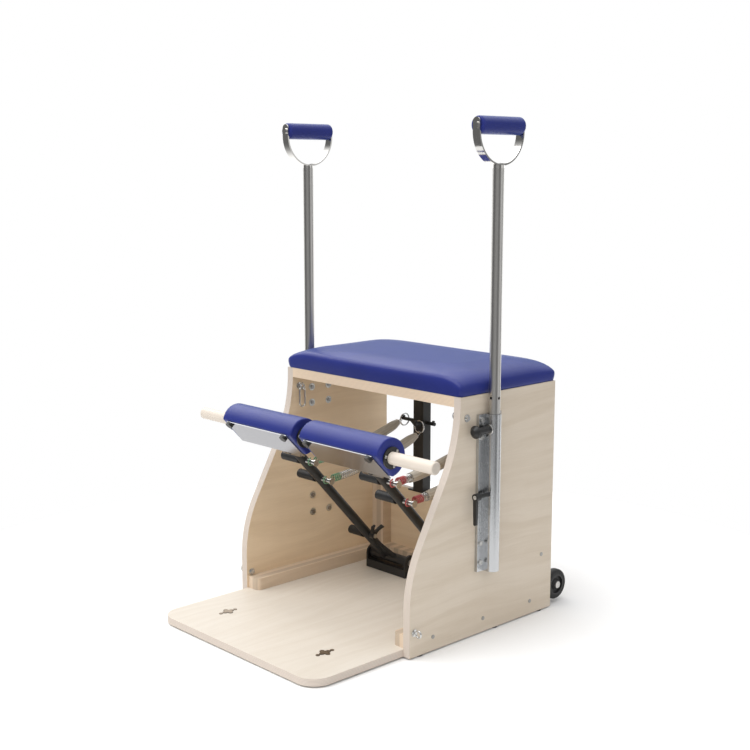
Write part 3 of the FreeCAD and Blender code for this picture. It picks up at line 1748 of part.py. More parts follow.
doc.recompute()
faults = [item.Label for item in doc.Objects if "Invalid" in item.State or "Error" in item.State]
for item in nodes:
    if item.Shape.isNull() or not item.Shape.isValid() or not item.Shape.Solids:
        faults.append(item.Label)
if faults:
    raise RuntimeError("These pieces failed: " + ", ".join(faults))
print("least gap of a spring to itself, mm:", round(min(smallest), 2))
os.makedirs("parts", exist_ok=True)
for item in nodes:
    item.Shape.exportStep(os.path.join("parts", item.Label + ".step"))
print(len(nodes), "nodes written")
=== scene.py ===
"""Looks of a split-pedal exercise chair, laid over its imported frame.

Boards, metal and plastic keep the frame's solids and get procedural finishes. The seat, the pedal
rolls, the grips, the springs and their sleeves are new surfaces that stand for their solids, and a
few small screws are added.
"""

import json
import math

import bmesh
import bpy
import numpy as np
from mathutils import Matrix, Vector


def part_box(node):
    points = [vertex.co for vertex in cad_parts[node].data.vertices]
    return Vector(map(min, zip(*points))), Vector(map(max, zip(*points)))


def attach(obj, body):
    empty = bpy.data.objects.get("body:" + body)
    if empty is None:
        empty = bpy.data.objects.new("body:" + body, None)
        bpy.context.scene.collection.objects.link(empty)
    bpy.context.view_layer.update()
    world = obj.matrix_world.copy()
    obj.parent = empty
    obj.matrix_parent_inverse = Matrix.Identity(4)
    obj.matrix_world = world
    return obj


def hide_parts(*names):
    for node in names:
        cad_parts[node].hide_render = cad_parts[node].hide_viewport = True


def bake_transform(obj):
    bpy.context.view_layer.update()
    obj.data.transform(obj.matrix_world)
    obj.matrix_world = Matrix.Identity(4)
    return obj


bl_info = {
    "name": "Pedal Chair",
    "version": (1, 0, 0),
    "blender": (4, 5, 0),
    "location": "3D View > Sidebar > Pedal Chair",
    "description": "Finishes, padding, springs and stage of a split-pedal exercise chair",
    "category": "Object",
}

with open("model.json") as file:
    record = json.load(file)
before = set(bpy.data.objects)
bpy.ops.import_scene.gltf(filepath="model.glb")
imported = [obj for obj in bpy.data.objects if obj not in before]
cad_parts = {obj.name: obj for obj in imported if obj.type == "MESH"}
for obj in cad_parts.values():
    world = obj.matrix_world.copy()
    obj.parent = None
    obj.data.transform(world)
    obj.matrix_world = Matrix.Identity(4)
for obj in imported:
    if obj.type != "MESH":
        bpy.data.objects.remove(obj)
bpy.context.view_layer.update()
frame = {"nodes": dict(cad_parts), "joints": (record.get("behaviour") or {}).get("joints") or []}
SIDES = ("left", "right")
X, Y, Z = range(3)
X_AXIS = np.array([1.0, 0.0, 0.0])
# Axes of a spring's line, in the order that HangingLine.frames gives them.
ALONG, ACROSS, UNDER = range(3)
# A spring's points, the extra turn that lays its hook sideways, and the share where its coil draws in.
POINTS_PER_TURN = 26
SIDEWAYS_TURN = 0.75
DRAW_IN_SHARE = 0.82
# Shares of a spring's line, near the ring and near the bar, between which it lengthens.
BLEND_SHARES = (0.93, 0.07)
BUSH_SCREW_TURNS = np.radians((44, 164, 284))
CLOTH_FRAMES = 20


class Socket:
    """A node's output in an expression: each operator adds one Math node."""

    def __init__(self, nodes, link):
        self.nodes = nodes
        self.link = link

    def maths(self, operation, first, second=0.0):
        return self.nodes.node("ShaderNodeMath", {0: first, 1: second}, {"operation": operation})

    def __add__(self, other):
        return self.maths("ADD", self, other)

    def __sub__(self, other):
        return self.maths("SUBTRACT", self, other)

    def __rsub__(self, other):
        return self.maths("SUBTRACT", other, self)

    def __mul__(self, other):
        return self.maths("MULTIPLY", self, other)

    def __truediv__(self, other):
        return self.maths("DIVIDE", self, other)

    def __lt__(self, other):
        return self.maths("LESS_THAN", self, other)

    def __abs__(self):
        return self.maths("ABSOLUTE", self)

    def waves(self, length):
        """A triangle wave from 0 to 1 and back over twice the length."""
        return self.maths("PINGPONG", self, length) / length

    __radd__ = __add__
    __rmul__ = __mul__


class Nodes:
    """A node tree in the making: the shader that it feeds, and short words for its nodes."""

    def __init__(self, tree, shader):
        self.tree = tree
        self.shader = tree.nodes[shader]

    def node(self, kind, sockets=None, settings=None, out=0):
        """Add a node with values or links in its sockets. Its settings, which can add sockets, go first."""
        item = self.tree.nodes.new(kind)
        for label, value in (settings or {}).items():
            setattr(item, label, value)
        for label, value in (sockets or {}).items():
            if isinstance(value, Socket):
                self.tree.links.new(value.link, item.inputs[label])
            else:
                item.inputs[label].default_value = value
        return Socket(self, item.outputs[out])

    def spots(self, kind="Object"):
        """A point's place in metres, its direction (Normal) or its own map (UV), as three values."""
        parts = self.node("ShaderNodeSeparateXYZ", {0: self.node("ShaderNodeTexCoord", out=kind)})
        return [Socket(self, out) for out in parts.link.node.outputs]

    def scaled(self, spots, scales):
        """A vector of three values, each times its own scale or all times one."""
        each = scales if isinstance(scales, tuple) else (scales,) * 3
        parts = [spot * scale for spot, scale in zip(spots, each)]
        return self.node("ShaderNodeCombineXYZ", dict(enumerate(parts)))

    def noise(self, spots, scales, detail=2.0):
        sockets = {"Vector": self.scaled(spots, scales), "Scale": 1.0, "Detail": detail}
        return self.node("ShaderNodeTexNoise", sockets)

    def cells(self, spots, scales):
        return self.node("ShaderNodeTexVoronoi", {"Vector": self.scaled(spots, scales), "Scale": 1.0})

    def rise(self, value, low, high):
        """A smooth step from 0 at low to 1 at high."""
        sockets = {"Value": value, "From Min": low, "From Max": high}
        return self.node("ShaderNodeMapRange", sockets, {"interpolation_type": "SMOOTHSTEP"})

    def mix(self, share, first, second, blend="MIX"):
        """A colour between two colours, or the first blended with the second."""
        settings = {"data_type": "RGBA", "blend_type": blend}
        return self.node("ShaderNodeMix", {0: share, 6: first, 7: second}, settings, out=2)

    def tones(self, share, colour, first, second):
        """A colour between two shares of itself."""
        return self.mix(share, shade(colour, first), shade(colour, second))

    def feed(self, label, value):
        self.tree.links.new(value.link, self.shader.inputs[label])

    def relief(self, height, depth, strength):
        """Let a height from 0 to 1, so many metres deep, tilt the surface."""
        sockets = {"Height": height, "Distance": depth, "Strength": strength}
        self.feed("Normal", self.node("ShaderNodeBump", sockets))


class Finish(Nodes):
    """A material in the making. The constants are set on its shader's own sockets."""

    def __init__(self, name, **constants):
        self.material = bpy.data.materials.new(name)
        self.material.use_nodes = True
        super().__init__(self.material.node_tree, "Principled BSDF")
        for label, value in constants.items():
            self.shader.inputs[label.replace("_", " ")].default_value = value


def shade(colour, share):
    """A colour times a share, opaque."""
    return (colour[0] * share, colour[1] * share, colour[2] * share, 1.0)


def board_finish(name, tint, edge_tint, along, through, ply, figure, inner_bounce_light=None):
    """Birch veneer: slow bands and fine fibres drawn out along the grain, plies on the cut edges.

    `along` and `through` are the axes of grain and thickness. Faces that look towards the middle of
    the chair may have a lighter, warmer colour of their own: painted bounce light inside the chair.
    """
    finish = Finish(name, Specular_IOR_Level=0.35)
    spots = finish.spots()
    ways = finish.spots("Normal")
    run = spots[along]
    depth = spots[through]
    width = spots[3 - along - through]
    wood = (run, width, depth)
    drift = finish.noise(wood, (1.7, 5.0, 5.0))
    bands = finish.noise((run * 2.6, width * 42.0 + drift * 5.0, depth * 42.0), 1.0, 3.0)
    curl = finish.noise(wood, (34.0, 9.0, 9.0))
    fibres = finish.noise(wood, (22.0, 1100.0, 1100.0), 3.0)
    pores = finish.noise(wood, (70.0, 1900.0, 1900.0), 1.0)
    tone = finish.rise(bands, 0.3, 0.72) * figure + finish.rise(fibres, 0.25, 0.8) * 0.25 + curl * 0.12
    face = shade(tint, 1.05)
    # Inner faces take a lighter, warmer colour: painted bounce light inside the chair.
    if inner_bounce_light:
        inner = (depth * ways[through]) < 0.0
        face = finish.mix(inner, face, shade(inner_bounce_light, 1.05))
    face = finish.mix(tone, face, (0.83, 0.79, 0.735, 1.0), "MULTIPLY")
    face = finish.mix(finish.rise(pores, 0.66, 0.78) * 0.25, face, (0.6, 0.6, 0.6, 1.0), "MULTIPLY")
    layers = finish.rise(depth.waves(ply), 0.35, 0.65)
    smear = finish.noise(wood, (60.0, 60.0, 900.0))
    cut_edge = finish.tones(layers * 0.7 + smear * 0.3, edge_tint, 1.05, 0.72)
    is_edge = finish.rise(abs(ways[through]), 0.9, 0.5)
    finish.feed("Base Color", finish.mix(is_edge, face, cut_edge))
    finish.feed("Roughness", 0.40 + fibres * 0.12 + is_edge * 0.12)
    finish.relief(fibres * (1.0 - is_edge) + layers * is_edge * 0.6, 0.00025, 0.35)
    return finish.material


def rod_finish(tint):
    """Pale turned wood: fibres along X, rings on the cut ends."""
    finish = Finish("turned_rod")
    spots = finish.spots()
    bands = finish.noise(spots, (3.0, 130.0, 130.0), 3.0)
    fibres = finish.noise(spots, (24.0, 1300.0, 1300.0))
    tone = finish.rise(bands, 0.3, 0.75) * 0.5 + fibres * 0.3
    is_end = finish.rise(abs(finish.spots("Normal")[X]), 0.7, 0.9)
    side = finish.tones(tone, tint, 1.05, 0.84)
    finish.feed("Base Color", finish.mix(is_end * (0.4 + fibres * 0.4), side, shade(tint, 0.66)))
    finish.feed("Roughness", 0.36 + fibres * 0.14 + is_end * 0.2)
    finish.relief(fibres, 0.0002, 0.35)
    return finish.material


def cover_finish(tint):
    """Blue upholstery vinyl, made once: a fine pebbled grain with a soft sheen."""
    made = bpy.data.materials.get("blue_vinyl")
    if made:
        return made
    finish = Finish(
        "blue_vinyl", Specular_IOR_Level=0.22, Coat_Roughness=0.3,
        Sheen_Weight=0.36, Sheen_Roughness=0.35, Sheen_Tint=(0.3, 0.52, 1.0, 1.0),
    )
    spots = finish.spots()
    pebbles = finish.cells(spots, 760.0)
    creases = finish.noise(spots, 420.0, 3.0)
    cloud = finish.noise(spots, 9.0, 3.0)
    grain = finish.rise(pebbles, 0.1, 0.75) * 0.7 + creases * 0.3
    tone = finish.rise(cloud, 0.3, 0.7) * 0.5 + grain * 0.5
    finish.feed("Base Color", finish.tones(tone, tint, 1.1, 0.86))
    finish.feed("Roughness", 0.30 + grain * 0.08 + cloud * 0.06)
    finish.feed("Coat Weight", finish.rise(cloud, 0.2, 0.8) * 0.06 + 0.03)
    finish.relief(grain, 0.00022, 0.30)
    return finish.material


def paint_finish(name, tint, rough, grain):
    """Sprayed or moulded skin: fine orange peel, with dust-pale specks in the colour."""
    finish = Finish(name)
    spots = finish.spots()
    peel = finish.noise(spots, grain)
    cloud = finish.noise(spots, 14.0, 3.0)
    finish.feed("Base Color", finish.tones(cloud * 0.6 + peel * 0.4, tint, 0.8, 1.25))
    finish.feed("Roughness", rough + finish.rise(cloud, 0.3, 0.7) * 0.1 + peel * 0.05)
    finish.relief(peel, 0.0002, 0.35)
    return finish.material


def metal_finish(name, tint, rough, along, lines, wear=1.0):
    """Drawn or brushed metal: hairlines along one axis and cloudy handling marks."""
    finish = Finish(name, Metallic=1.0)
    spots = finish.spots()
    hairs = finish.noise(spots, tuple(6.0 if axis == along else lines for axis in range(3)))
    cloud = finish.noise(spots, 18.0, 3.0)
    marks = hairs * 0.6 + cloud * 0.4
    finish.feed("Base Color", finish.tones(marks, tint, 1 - 0.14 * wear, 1 + 0.1 * wear))
    finish.feed("Roughness", rough + (hairs * 0.12 + finish.rise(cloud, 0.35, 0.7) * 0.06) * wear)
    finish.relief(hairs, 0.00005, 0.3 * wear)
    return finish.material


def pole_finish(tint, strap_foot):
    """Steel tube with drawn lines up its length, and a polished strap above a height."""
    finish = Finish("pole_steel", Metallic=1.0)
    spots = finish.spots()
    hairs = finish.noise(spots, (1300.0, 1300.0, 5.0))
    cloud = finish.noise(spots, (30.0, 30.0, 12.0), 3.0)
    strap = finish.rise(spots[Z], strap_foot - 0.002, strap_foot + 0.002)
    drawn = finish.tones(hairs * 0.5 + cloud * 0.5, tint, 0.84, 1.08)
    polished = finish.tones(cloud, tint, 1.12, 1.25)
    finish.feed("Base Color", finish.mix(strap, drawn, polished))
    finish.feed("Roughness", (0.24 + hairs * 0.1) * (1.0 - strap) + (0.08 + cloud * 0.08) * strap)
    finish.relief(hairs * (1.0 - strap) + cloud * strap, 0.00004, 0.3)
    return finish.material


def bolted_finish(steel, panel_face):
    """Zinc-plated bolts and washers, with darker nuts on the panels' inner faces."""
    finish = Finish("zinc_bolts", Metallic=1.0)
    spots = finish.spots()
    cloud = finish.noise(spots, 300.0, 3.0)
    nut = abs(spots[X]) < panel_face
    plated = finish.tones(cloud, steel, 0.9, 1.3)
    finish.feed("Base Color", finish.mix(nut, plated, shade(steel, 0.6)))
    finish.feed("Roughness", 0.2 + cloud * 0.18)
    finish.relief(cloud, 0.00006, 0.3)
    return finish.material


def fixing_finish(zinc, bronze, board_front):
    """Zinc-plated screws, and bronze on the floor fixings in front, with painted shade on their side faces.
    """
    finish = Finish("plated_fixings", Metallic=1.0)
    spots = finish.spots()
    cloud = finish.noise(spots, 500.0)
    # Faces that turn away from upright get painted shade, darker than the bronze tops.
    rim = finish.rise(abs(finish.spots("Normal")[Z]), 0.9, 0.4)
    plate = finish.tones(cloud, zinc, 0.5, 0.8)
    bronze_and_rim_shade = finish.mix(rim, finish.tones(cloud, bronze, 0.7, 1.3), shade(bronze, 0.2))
    finish.feed("Base Color", finish.mix(spots[Y] < board_front, plate, bronze_and_rim_shade))
    finish.feed("Roughness", 0.28 + cloud * 0.15)
    finish.relief(cloud, 0.00008, 0.3)
    return finish.material


def spring_finish(name, steel, mark, marked):
    """Bright spring wire whose pedal end is dipped in a colour, fading out over a few turns."""
    finish = Finish(name)
    across, along, _ = finish.spots("UV")
    worn = finish.noise((across, along, 0.0), (900.0, 260.0, 1.0), 3.0)
    dipped = finish.rise(along + (worn - 0.5) * 0.012, marked + 0.003, marked - 0.003)
    bright = finish.tones(worn, steel, 0.82, 1.08)
    colour = finish.tones(worn, mark, 0.75, 1.2)
    finish.feed("Base Color", finish.mix(dipped, bright, colour))
    finish.feed("Metallic", 1.0 - dipped * 0.9)
    finish.feed("Roughness", 0.16 + worn * 0.12 + dipped * 0.18)
    return finish.material


def weave_finish(tint):
    """Plain-woven sleeve cloth: threads over and under each other, in stripes along the sleeve."""
    finish = Finish("sleeve_cloth", Sheen_Weight=0.35, Sheen_Roughness=0.4)
    across, along, _ = finish.spots("UV")
    thread, stripe = 0.0007, 0.0036
    warp = across.waves(thread)
    weft = along.waves(thread)
    over = warp * (1.0 - weft) + weft * (1.0 - warp)
    stripes = finish.rise(across.waves(stripe), 0.3, 0.7)
    slub = finish.noise((across, along, 0.0), (260.0, 90.0, 1.0), 3.0)
    # Lengthways fold streaks in the colour are painted fold shade.
    folds = finish.noise((across, along, 1.0), (60.0, 14.0, 1.0))
    tone = over * 0.25 + slub * 0.3 + folds * 0.2 + stripes * 0.25
    finish.feed("Base Color", finish.tones(tone, tint, 0.68, 1.28))
    finish.feed("Roughness", 0.5 + over * 0.15 + stripes * 0.1)
    finish.relief(over * 0.5 + slub * 0.3 + stripes * 0.2, 0.0004, 0.5)
    return finish.material


def tyre_finish(tint):
    """Moulded rubber, paler where it has rolled."""
    finish = Finish("tyre_rubber")
    scuff = finish.noise(finish.spots(), (240.0, 40.0, 40.0), 3.0)
    finish.feed("Base Color", finish.tones(scuff, tint, 0.6, 1.2))
    finish.feed("Roughness", 0.5 + scuff * 0.25)
    finish.relief(scuff, 0.0002, 0.3)
    return finish.material


def paired(*names):
    """Names of the nodes that come left and right."""
    return [name + "_" + side for name in names for side in SIDES]


def full_turn(count):
    """Angles once round."""
    return np.linspace(0, 2 * math.pi, count, endpoint=False)


def joint_place(name):
    """Where a joint sits."""
    return next(joint["pos_m"] for joint in frame["joints"] if joint["name"] == name)


def dress(names, material):
    """Give CAD nodes a finish."""
    for name in names:
        slots = frame["nodes"][name].data.materials
        slots.clear()
        slots.append(material)


def grid_piece(name, points, closed=(False, True), chart=None):
    """A piece on a grid of points, rows by columns, each way open or closed into a ring.

    `chart` gives the metres round the columns and the metres up to each row, for the piece's own map.
    Rows that shrink to a point are merged, which closes the poles.
    """
    rows, columns = points.shape[:2]
    row, column = np.meshgrid(
        np.arange(rows if closed[0] else rows - 1),
        np.arange(columns if closed[1] else columns - 1),
        indexing="ij",
    )
    row = np.stack([row, row, row + 1, row + 1], -1).reshape(-1, 4)
    column = np.stack([column, column + 1, column + 1, column], -1).reshape(-1, 4)
    mesh = bpy.data.meshes.new(name)
    mesh.from_pydata(points.reshape(-1, 3), [], (row % rows) * columns + column % columns)
    if chart:
        across, along = chart
        spread = np.stack([column / columns * across, along[row]], -1)
        mesh.uv_layers.new(name="chart").data.foreach_set("uv", spread.astype(np.float32).ravel())
    work = bmesh.new()
    work.from_mesh(mesh)
    bmesh.ops.remove_doubles(work, verts=work.verts, dist=1e-6)
    bmesh.ops.recalc_face_normals(work, faces=work.faces)
    work.to_mesh(mesh)
    work.free()
    piece = bpy.data.objects.new(name, mesh)
    bpy.context.scene.collection.objects.link(piece)
    smooth(piece)
    return piece


def smooth(piece):
    """Shade a piece smoothly."""
    piece.data.polygons.foreach_set("use_smooth", np.ones(len(piece.data.polygons), bool))
    piece.data.update()


def subdivide(piece):
    """Let a piece be drawn one subdivision finer."""
    finer = piece.modifiers.new("Finer", "SUBSURF")
    finer.levels = 1
    finer.render_levels = 1


def corners_of(mesh):
    """The points of a mesh."""
    points = np.empty(len(mesh.vertices) * 3)
    mesh.vertices.foreach_get("co", points)
    return points.reshape(-1, 3)


def put_on(piece, material, body, slot, *nodes):
    """Give a piece its finish and body, and let it stand for CAD nodes. The slot is not used."""
    piece.data.materials.append(material)
    if body:
        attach(piece, body)
    if nodes:
        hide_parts(*nodes)


def evened(piece, voxel):
    """Remesh a piece in even faces, shaded smoothly."""
    even = piece.modifiers.new("Even", "REMESH")
    even.mode = "VOXEL"
    even.voxel_size = voxel
    depsgraph = bpy.context.evaluated_depsgraph_get()
    mesh = bpy.data.meshes.new_from_object(piece.evaluated_get(depsgraph))
    piece.modifiers.clear()
    piece.data = mesh
    smooth(piece)


def stuffed(piece, pressure, reach, held):
    """Swell a padded piece as its cover does over foam.

    It runs as cloth under inner pressure without gravity. `held` gives each point's pin from 0 to 1,
    and no point moves further than `reach`.
    """
    scene = bpy.context.scene
    rest = corners_of(piece.data)
    pins = piece.vertex_groups.new(name="held")
    weights = np.round(held(rest), 1)
    for weight in np.unique(weights[weights > 0]):
        pins.add(np.flatnonzero(weights == weight).tolist(), float(weight), "REPLACE")
    cover = piece.modifiers.new("Cover", "CLOTH").settings
    cover.quality = 5
    cover.mass = 0.3
    cover.tension_stiffness = 40
    cover.compression_stiffness = 40
    cover.shear_stiffness = 20
    cover.bending_stiffness = 15
    cover.use_pressure = True
    cover.uniform_pressure_force = pressure
    cover.effector_weights.gravity = 0
    cover.vertex_group_mass = "held"
    for step in range(1, CLOTH_FRAMES + 1):
        scene.frame_set(step)
    depsgraph = bpy.context.evaluated_depsgraph_get()
    move = corners_of(piece.evaluated_get(depsgraph).data) - rest
    far = np.linalg.norm(move, axis=1, keepdims=True)
    move *= np.minimum(1.0, reach / np.maximum(far, 1e-9))
    piece.modifiers.clear()
    piece.vertex_groups.clear()
    scene.frame_set(1)
    piece.data.vertices.foreach_set("co", (rest + move).ravel())
    piece.data.update()


def rounded_plan(count, corner_count):
    """Columns round a rounded rectangle: shares of its straight half-sizes, and outward directions.

    Each straight side carries shares from -1 to 1 and each corner turns its direction by 90 degrees,
    so a point is share times straight half-size plus direction times corner radius.
    """
    steps = np.linspace(-1, 1, count, endpoint=False)
    turns = np.linspace(0, math.pi / 2, corner_count, endpoint=False)
    shares = []
    ways = []
    for quarter in range(4):
        turn = quarter * math.pi / 2
        spin = np.array([[math.cos(turn), math.sin(turn)], [-math.sin(turn), math.cos(turn)]])
        shares.append(np.stack([steps, -np.ones(count)], -1) @ spin)
        shares.append(np.tile([1.0, -1.0], (corner_count, 1)) @ spin)
        ways.append(np.tile([0.0, -1.0], (count, 1)) @ spin)
        ways.append(np.stack([np.sin(turns), -np.cos(turns)], -1) @ spin)
    return np.concatenate(shares), np.concatenate(ways)


def seat_surface(low, high, corner, foot_inset, wall, shoulder, crown, crown_reach, end_wall, end_reach):
    """The seat pad: rings of a rounded rectangle, up the wall and in over the top to the middle.

    In the middle the height climbs from the wall over a quarter-ellipse shoulder, plus a parabola of
    crown. Towards an end it falls to the end wall as (1 - (1 - s)^2.2)^0.45, where s is the distance
    from the end over its reach. The wall comes out from the foot's inset by a quarter sine.
    """
    half = (np.array(high[:2]) - np.array(low[:2])) / 2
    middle = (np.array(high[:2]) + np.array(low[:2])) / 2
    under = np.array([1.0, 0.75, 0.5, 0.25, 0.08])
    up = np.linspace(0, 1, 7)
    bend = shoulder * (1 - np.cos(np.linspace(0, math.pi / 2, 12)))
    inset = np.concatenate([
        foot_inset + (half[1] - foot_inset) * under, foot_inset * (1 - np.sin(up * math.pi / 2)),
        bend[1:], shoulder + (half[1] - shoulder) * np.linspace(0, 1, 30)[1:] ** 1.6,
    ])
    shares, ways = rounded_plan(40, 12)
    radius = np.minimum(corner + 0.5 * inset, np.maximum(half[1] - inset, 0))
    straight = np.maximum(half - inset[:, None] - radius[:, None], 0)
    plan = shares * straight[:, None, :] + ways * radius[:, None, None]
    from_end, from_side = np.moveaxis(half - np.abs(plan), -1, 0)
    over = np.clip(from_side / shoulder, 0, 1)
    domed = np.clip(from_side / crown_reach, 0, 1)
    top = high[2] - low[2] - crown
    height = wall + (top - wall) * np.sqrt(1 - (1 - over) ** 2) + crown * (1 - (1 - domed) ** 2)
    fall = (1 - (1 - np.clip(from_end / end_reach, 0, 1)) ** 2.2) ** 0.45
    height = end_wall + (height - end_wall) * fall
    foot, brow = len(under), len(under) + len(up)
    height[:foot] = 0
    height[foot:brow] = up[:, None] * height[brow - 1]
    return np.concatenate([plan + middle, (low[2] + height)[..., None]], -1)


def roll_section(turns, radius, flat, flat_turn):
    """Distance from a roll's axis to its skin at each angle: a circle cut by one flat.

    A p-norm of high order over the reciprocals joins them, which rounds the two corners a little.
    """
    order = 60
    towards = np.maximum(np.cos(turns - flat_turn), 0) / flat
    return ((1 / radius) ** order + towards ** order) ** (-1 / order)


def roll_surface(ends, axis, skin, turns, bore, edge):
    """A padded roll along X about a (Y, Z) axis: skin, rounded end edges, flat ends and bore.

    Rows go along the skin, round the edge on a quarter circle, in over the end, back through the bore
    and out over the other end, where they meet the first row.
    """
    start, end = ends
    bend = np.linspace(0, math.pi / 2, 6)[1:]
    inward = np.linspace(0, 1, 8)[1:]
    edge_x = end - edge + edge * np.sin(bend)
    edge_drop = edge * (1 - np.cos(bend))
    stretches = (
        (np.linspace(start + edge, end - edge, 40), 0, 0),
        (edge_x, edge_drop, 0),
        (end, edge, inward),
        (np.linspace(end, start, 24)[1:], edge, 1),
        (start, edge, 1 - inward[:-1]),
        (start + end - edge_x[::-1], edge_drop[::-1], 0),
    )
    rows = np.concatenate([np.broadcast_arrays(*stretch) for stretch in stretches], axis=1)
    x, drop, into = rows[..., None]
    reach = (skin - drop) * (1 - into) + bore * into
    across = np.broadcast_to(x, reach.shape)
    return np.stack([across, axis[0] + reach * np.cos(turns), axis[1] + reach * np.sin(turns)], -1)


class HangingLine:
    """A spring's middle line: straight from the pedal's bar to the ring, less a parabola of sag."""

    def __init__(self, start, end, sag):
        self.start = np.array(start)
        self.end = np.array(end)
        self.sag = sag
        self.length = np.linalg.norm(self.end - self.start)

    def points(self, share):
        run = self.start + (self.end - self.start) * share[:, None]
        run[:, 2] -= 4 * self.sag * share * (1 - share)
        return run

    def frames(self, share):
        """Unit vectors at each share: along the line, across it near X, and square to both."""
        way = np.repeat((self.end - self.start)[None], len(share), 0)
        way[:, 2] -= 4 * self.sag * (1 - 2 * share)
        way /= np.linalg.norm(way, axis=1, keepdims=True)
        across = X_AXIS - way * (way @ X_AXIS)[:, None]
        across /= np.linalg.norm(across, axis=1, keepdims=True)
        return way, across, np.cross(way, across)


def tube_surface(path, outward, radius, sides):
    """A round tube: circles square to the path, set out from a direction carried along it."""
    way = np.gradient(path, axis=0)
    way /= np.linalg.norm(way, axis=1, keepdims=True)
    first = outward - way * np.sum(outward * way, 1, keepdims=True)
    first /= np.linalg.norm(first, axis=1, keepdims=True)
    second = np.cross(way, first)
    turns = full_turn(sides)
    rim = np.cos(turns)[None, :, None] * first[:, None] + np.sin(turns)[None, :, None] * second[:, None]
    tube = path[:, None] + radius * rim
    ends = [np.repeat(path[[at], None], sides, 1) for at in (0, -1)]
    return np.concatenate([ends[0], tube, ends[1]])


def spring_path(line, coil, eye, hook, lead, open_share, open_turns, hidden_turns, sideways):
    """A spring's wire: a half eye round the bar, open turns, close turns in the sleeve, a hook on the ring.

    Eye and hook are arcs of a circle. Along the coil the angle grows with the turns while the middle
    moves along the hanging line; the radius comes out from the eye and draws in towards the ring.
    Returns the points, the directions from the middle to the wire, and each point's share of the line.
    """
    first = (lead + eye) / line.length
    last = 1 - (lead + hook) / line.length
    turns = open_turns + hidden_turns + (SIDEWAYS_TURN if sideways else 0.0)
    hook_axis = ACROSS if sideways else UNDER
    stretches = []

    def lay(share, reach, turn, axis, next_axis):
        """Lay wire at a reach from the line, turned from one of the line's axes towards another."""
        axes = line.frames(share)
        reach, turn = np.atleast_1d(reach)[:, None], np.atleast_1d(turn)[:, None]
        out = axes[axis] * np.cos(turn) + axes[next_axis] * np.sin(turn)
        stretches.append((line.points(share) + reach * out, out, share))

    lay(np.zeros(30), eye, np.linspace(1.5, 0.5, 30) * math.pi, ALONG, UNDER)
    share = np.linspace(0, first, 8)[1:-1]
    lay(share, eye + (coil - eye) * share / first, 0.0, UNDER, ALONG)
    count = np.linspace(0, turns, int(turns * POINTS_PER_TURN))
    share = np.interp(count, [0, open_turns, turns], [first, open_share, last])
    draw_in = np.clip((share - DRAW_IN_SHARE) / (last - DRAW_IN_SHARE), 0, 1) ** 2
    lay(share, coil + (hook - coil) * draw_in, math.pi / 2 + 2 * math.pi * count, ACROSS, UNDER)
    lay(np.linspace(last, 1, 8)[1:-1], hook, 0.0, hook_axis, ALONG)
    lay(np.ones(26), hook, np.linspace(0, 1.1, 26) * math.pi, hook_axis, ALONG)

    path, outs, shares = [np.concatenate(part) for part in zip(*stretches)]
    padded = np.pad(path, ((2, 2), (0, 0)), mode="reflect", reflect_type="odd")
    weights = np.array([1, 2, 3, 2, 1]) / 9
    path = sum(weight * padded[at:at + len(path)] for at, weight in enumerate(weights))
    return path, outs, shares


def sleeve_surface(line, start, end, radius, wall, gather, point):
    """A cloth sleeve round the line: full in the middle, gathered at the pedal end, blunt at the ring.

    The radius falls off by exponentials towards both ends. Lengthways puckers, a cosine of eight
    folds, grow towards the ends, and a slow sine lets the cloth hang unevenly. The inner skin follows a
    wall's thickness inside. Returns the points and the metres up to each row.
    """
    share = np.linspace(start, end, 90)
    run = (share - start) * line.length
    left = (end - share) * line.length
    turns = full_turn(48)
    pedal_reach, ring_reach = 0.014, 0.016
    pedal_folds, ring_folds = 0.012, 0.02
    twist, sway_length, slack = 0.05, 0.017, 0.03
    ends = np.exp(-run / pedal_folds) + np.exp(-left / ring_folds)
    body = radius - (radius - gather) * np.exp(-((run / pedal_reach) ** 2))
    body = body - (radius - point) * np.exp(-((left / ring_reach) ** 1.8))
    pucker = 0.05 * ends[:, None] * np.cos(8 * turns + 3 * run[:, None] / twist)
    sway = 0.02 * np.sin(run[:, None] / sway_length + 2 * np.sin(turns) + np.cos(3 * turns))
    outer = body[:, None] * (1 + pucker + sway - slack)
    across, under = line.frames(share)[1:]
    rim = np.cos(turns)[None, :, None] * across[:, None] + np.sin(turns)[None, :, None] * under[:, None]
    middle = line.points(share)[:, None]
    skin = middle + outer[:, :, None] * rim
    lining = middle + (outer - wall)[:, :, None] * rim
    along = np.concatenate([run, run[-1] + run, 2 * run[-1:]])
    return np.concatenate([skin, lining[::-1]]), along


def screw_surface(radius, height, socket):
    """A pan head about Z: up the rim, over a quarter-ellipse dome and down into a round socket."""
    dome = np.linspace(0, 0.9, 6)[1:] * math.pi / 2
    reach = np.concatenate([[0, radius, radius], radius * (0.3 + 0.7 * np.cos(dome)), [socket, socket, 0]])
    level = np.concatenate([[0, 0, 0.4], 0.4 + 0.6 * np.sin(dome), [1, 0.35, 0.35]]) * height
    turns = full_turn(20)
    across = reach[:, None] * np.cos(turns)
    return np.stack([across, reach[:, None] * np.sin(turns), level[:, None] + 0 * across], -1)


def length_value(note, default):
    """A size in metres that a user may change."""
    return bpy.props.FloatProperty(description=note, default=default, unit="LENGTH", precision=4)


def colour_value(note, default):
    """A colour that a user may change."""
    return bpy.props.FloatVectorProperty(
        description=note, default=default, subtype="COLOR", size=3, min=0.0, max=1.0,
    )


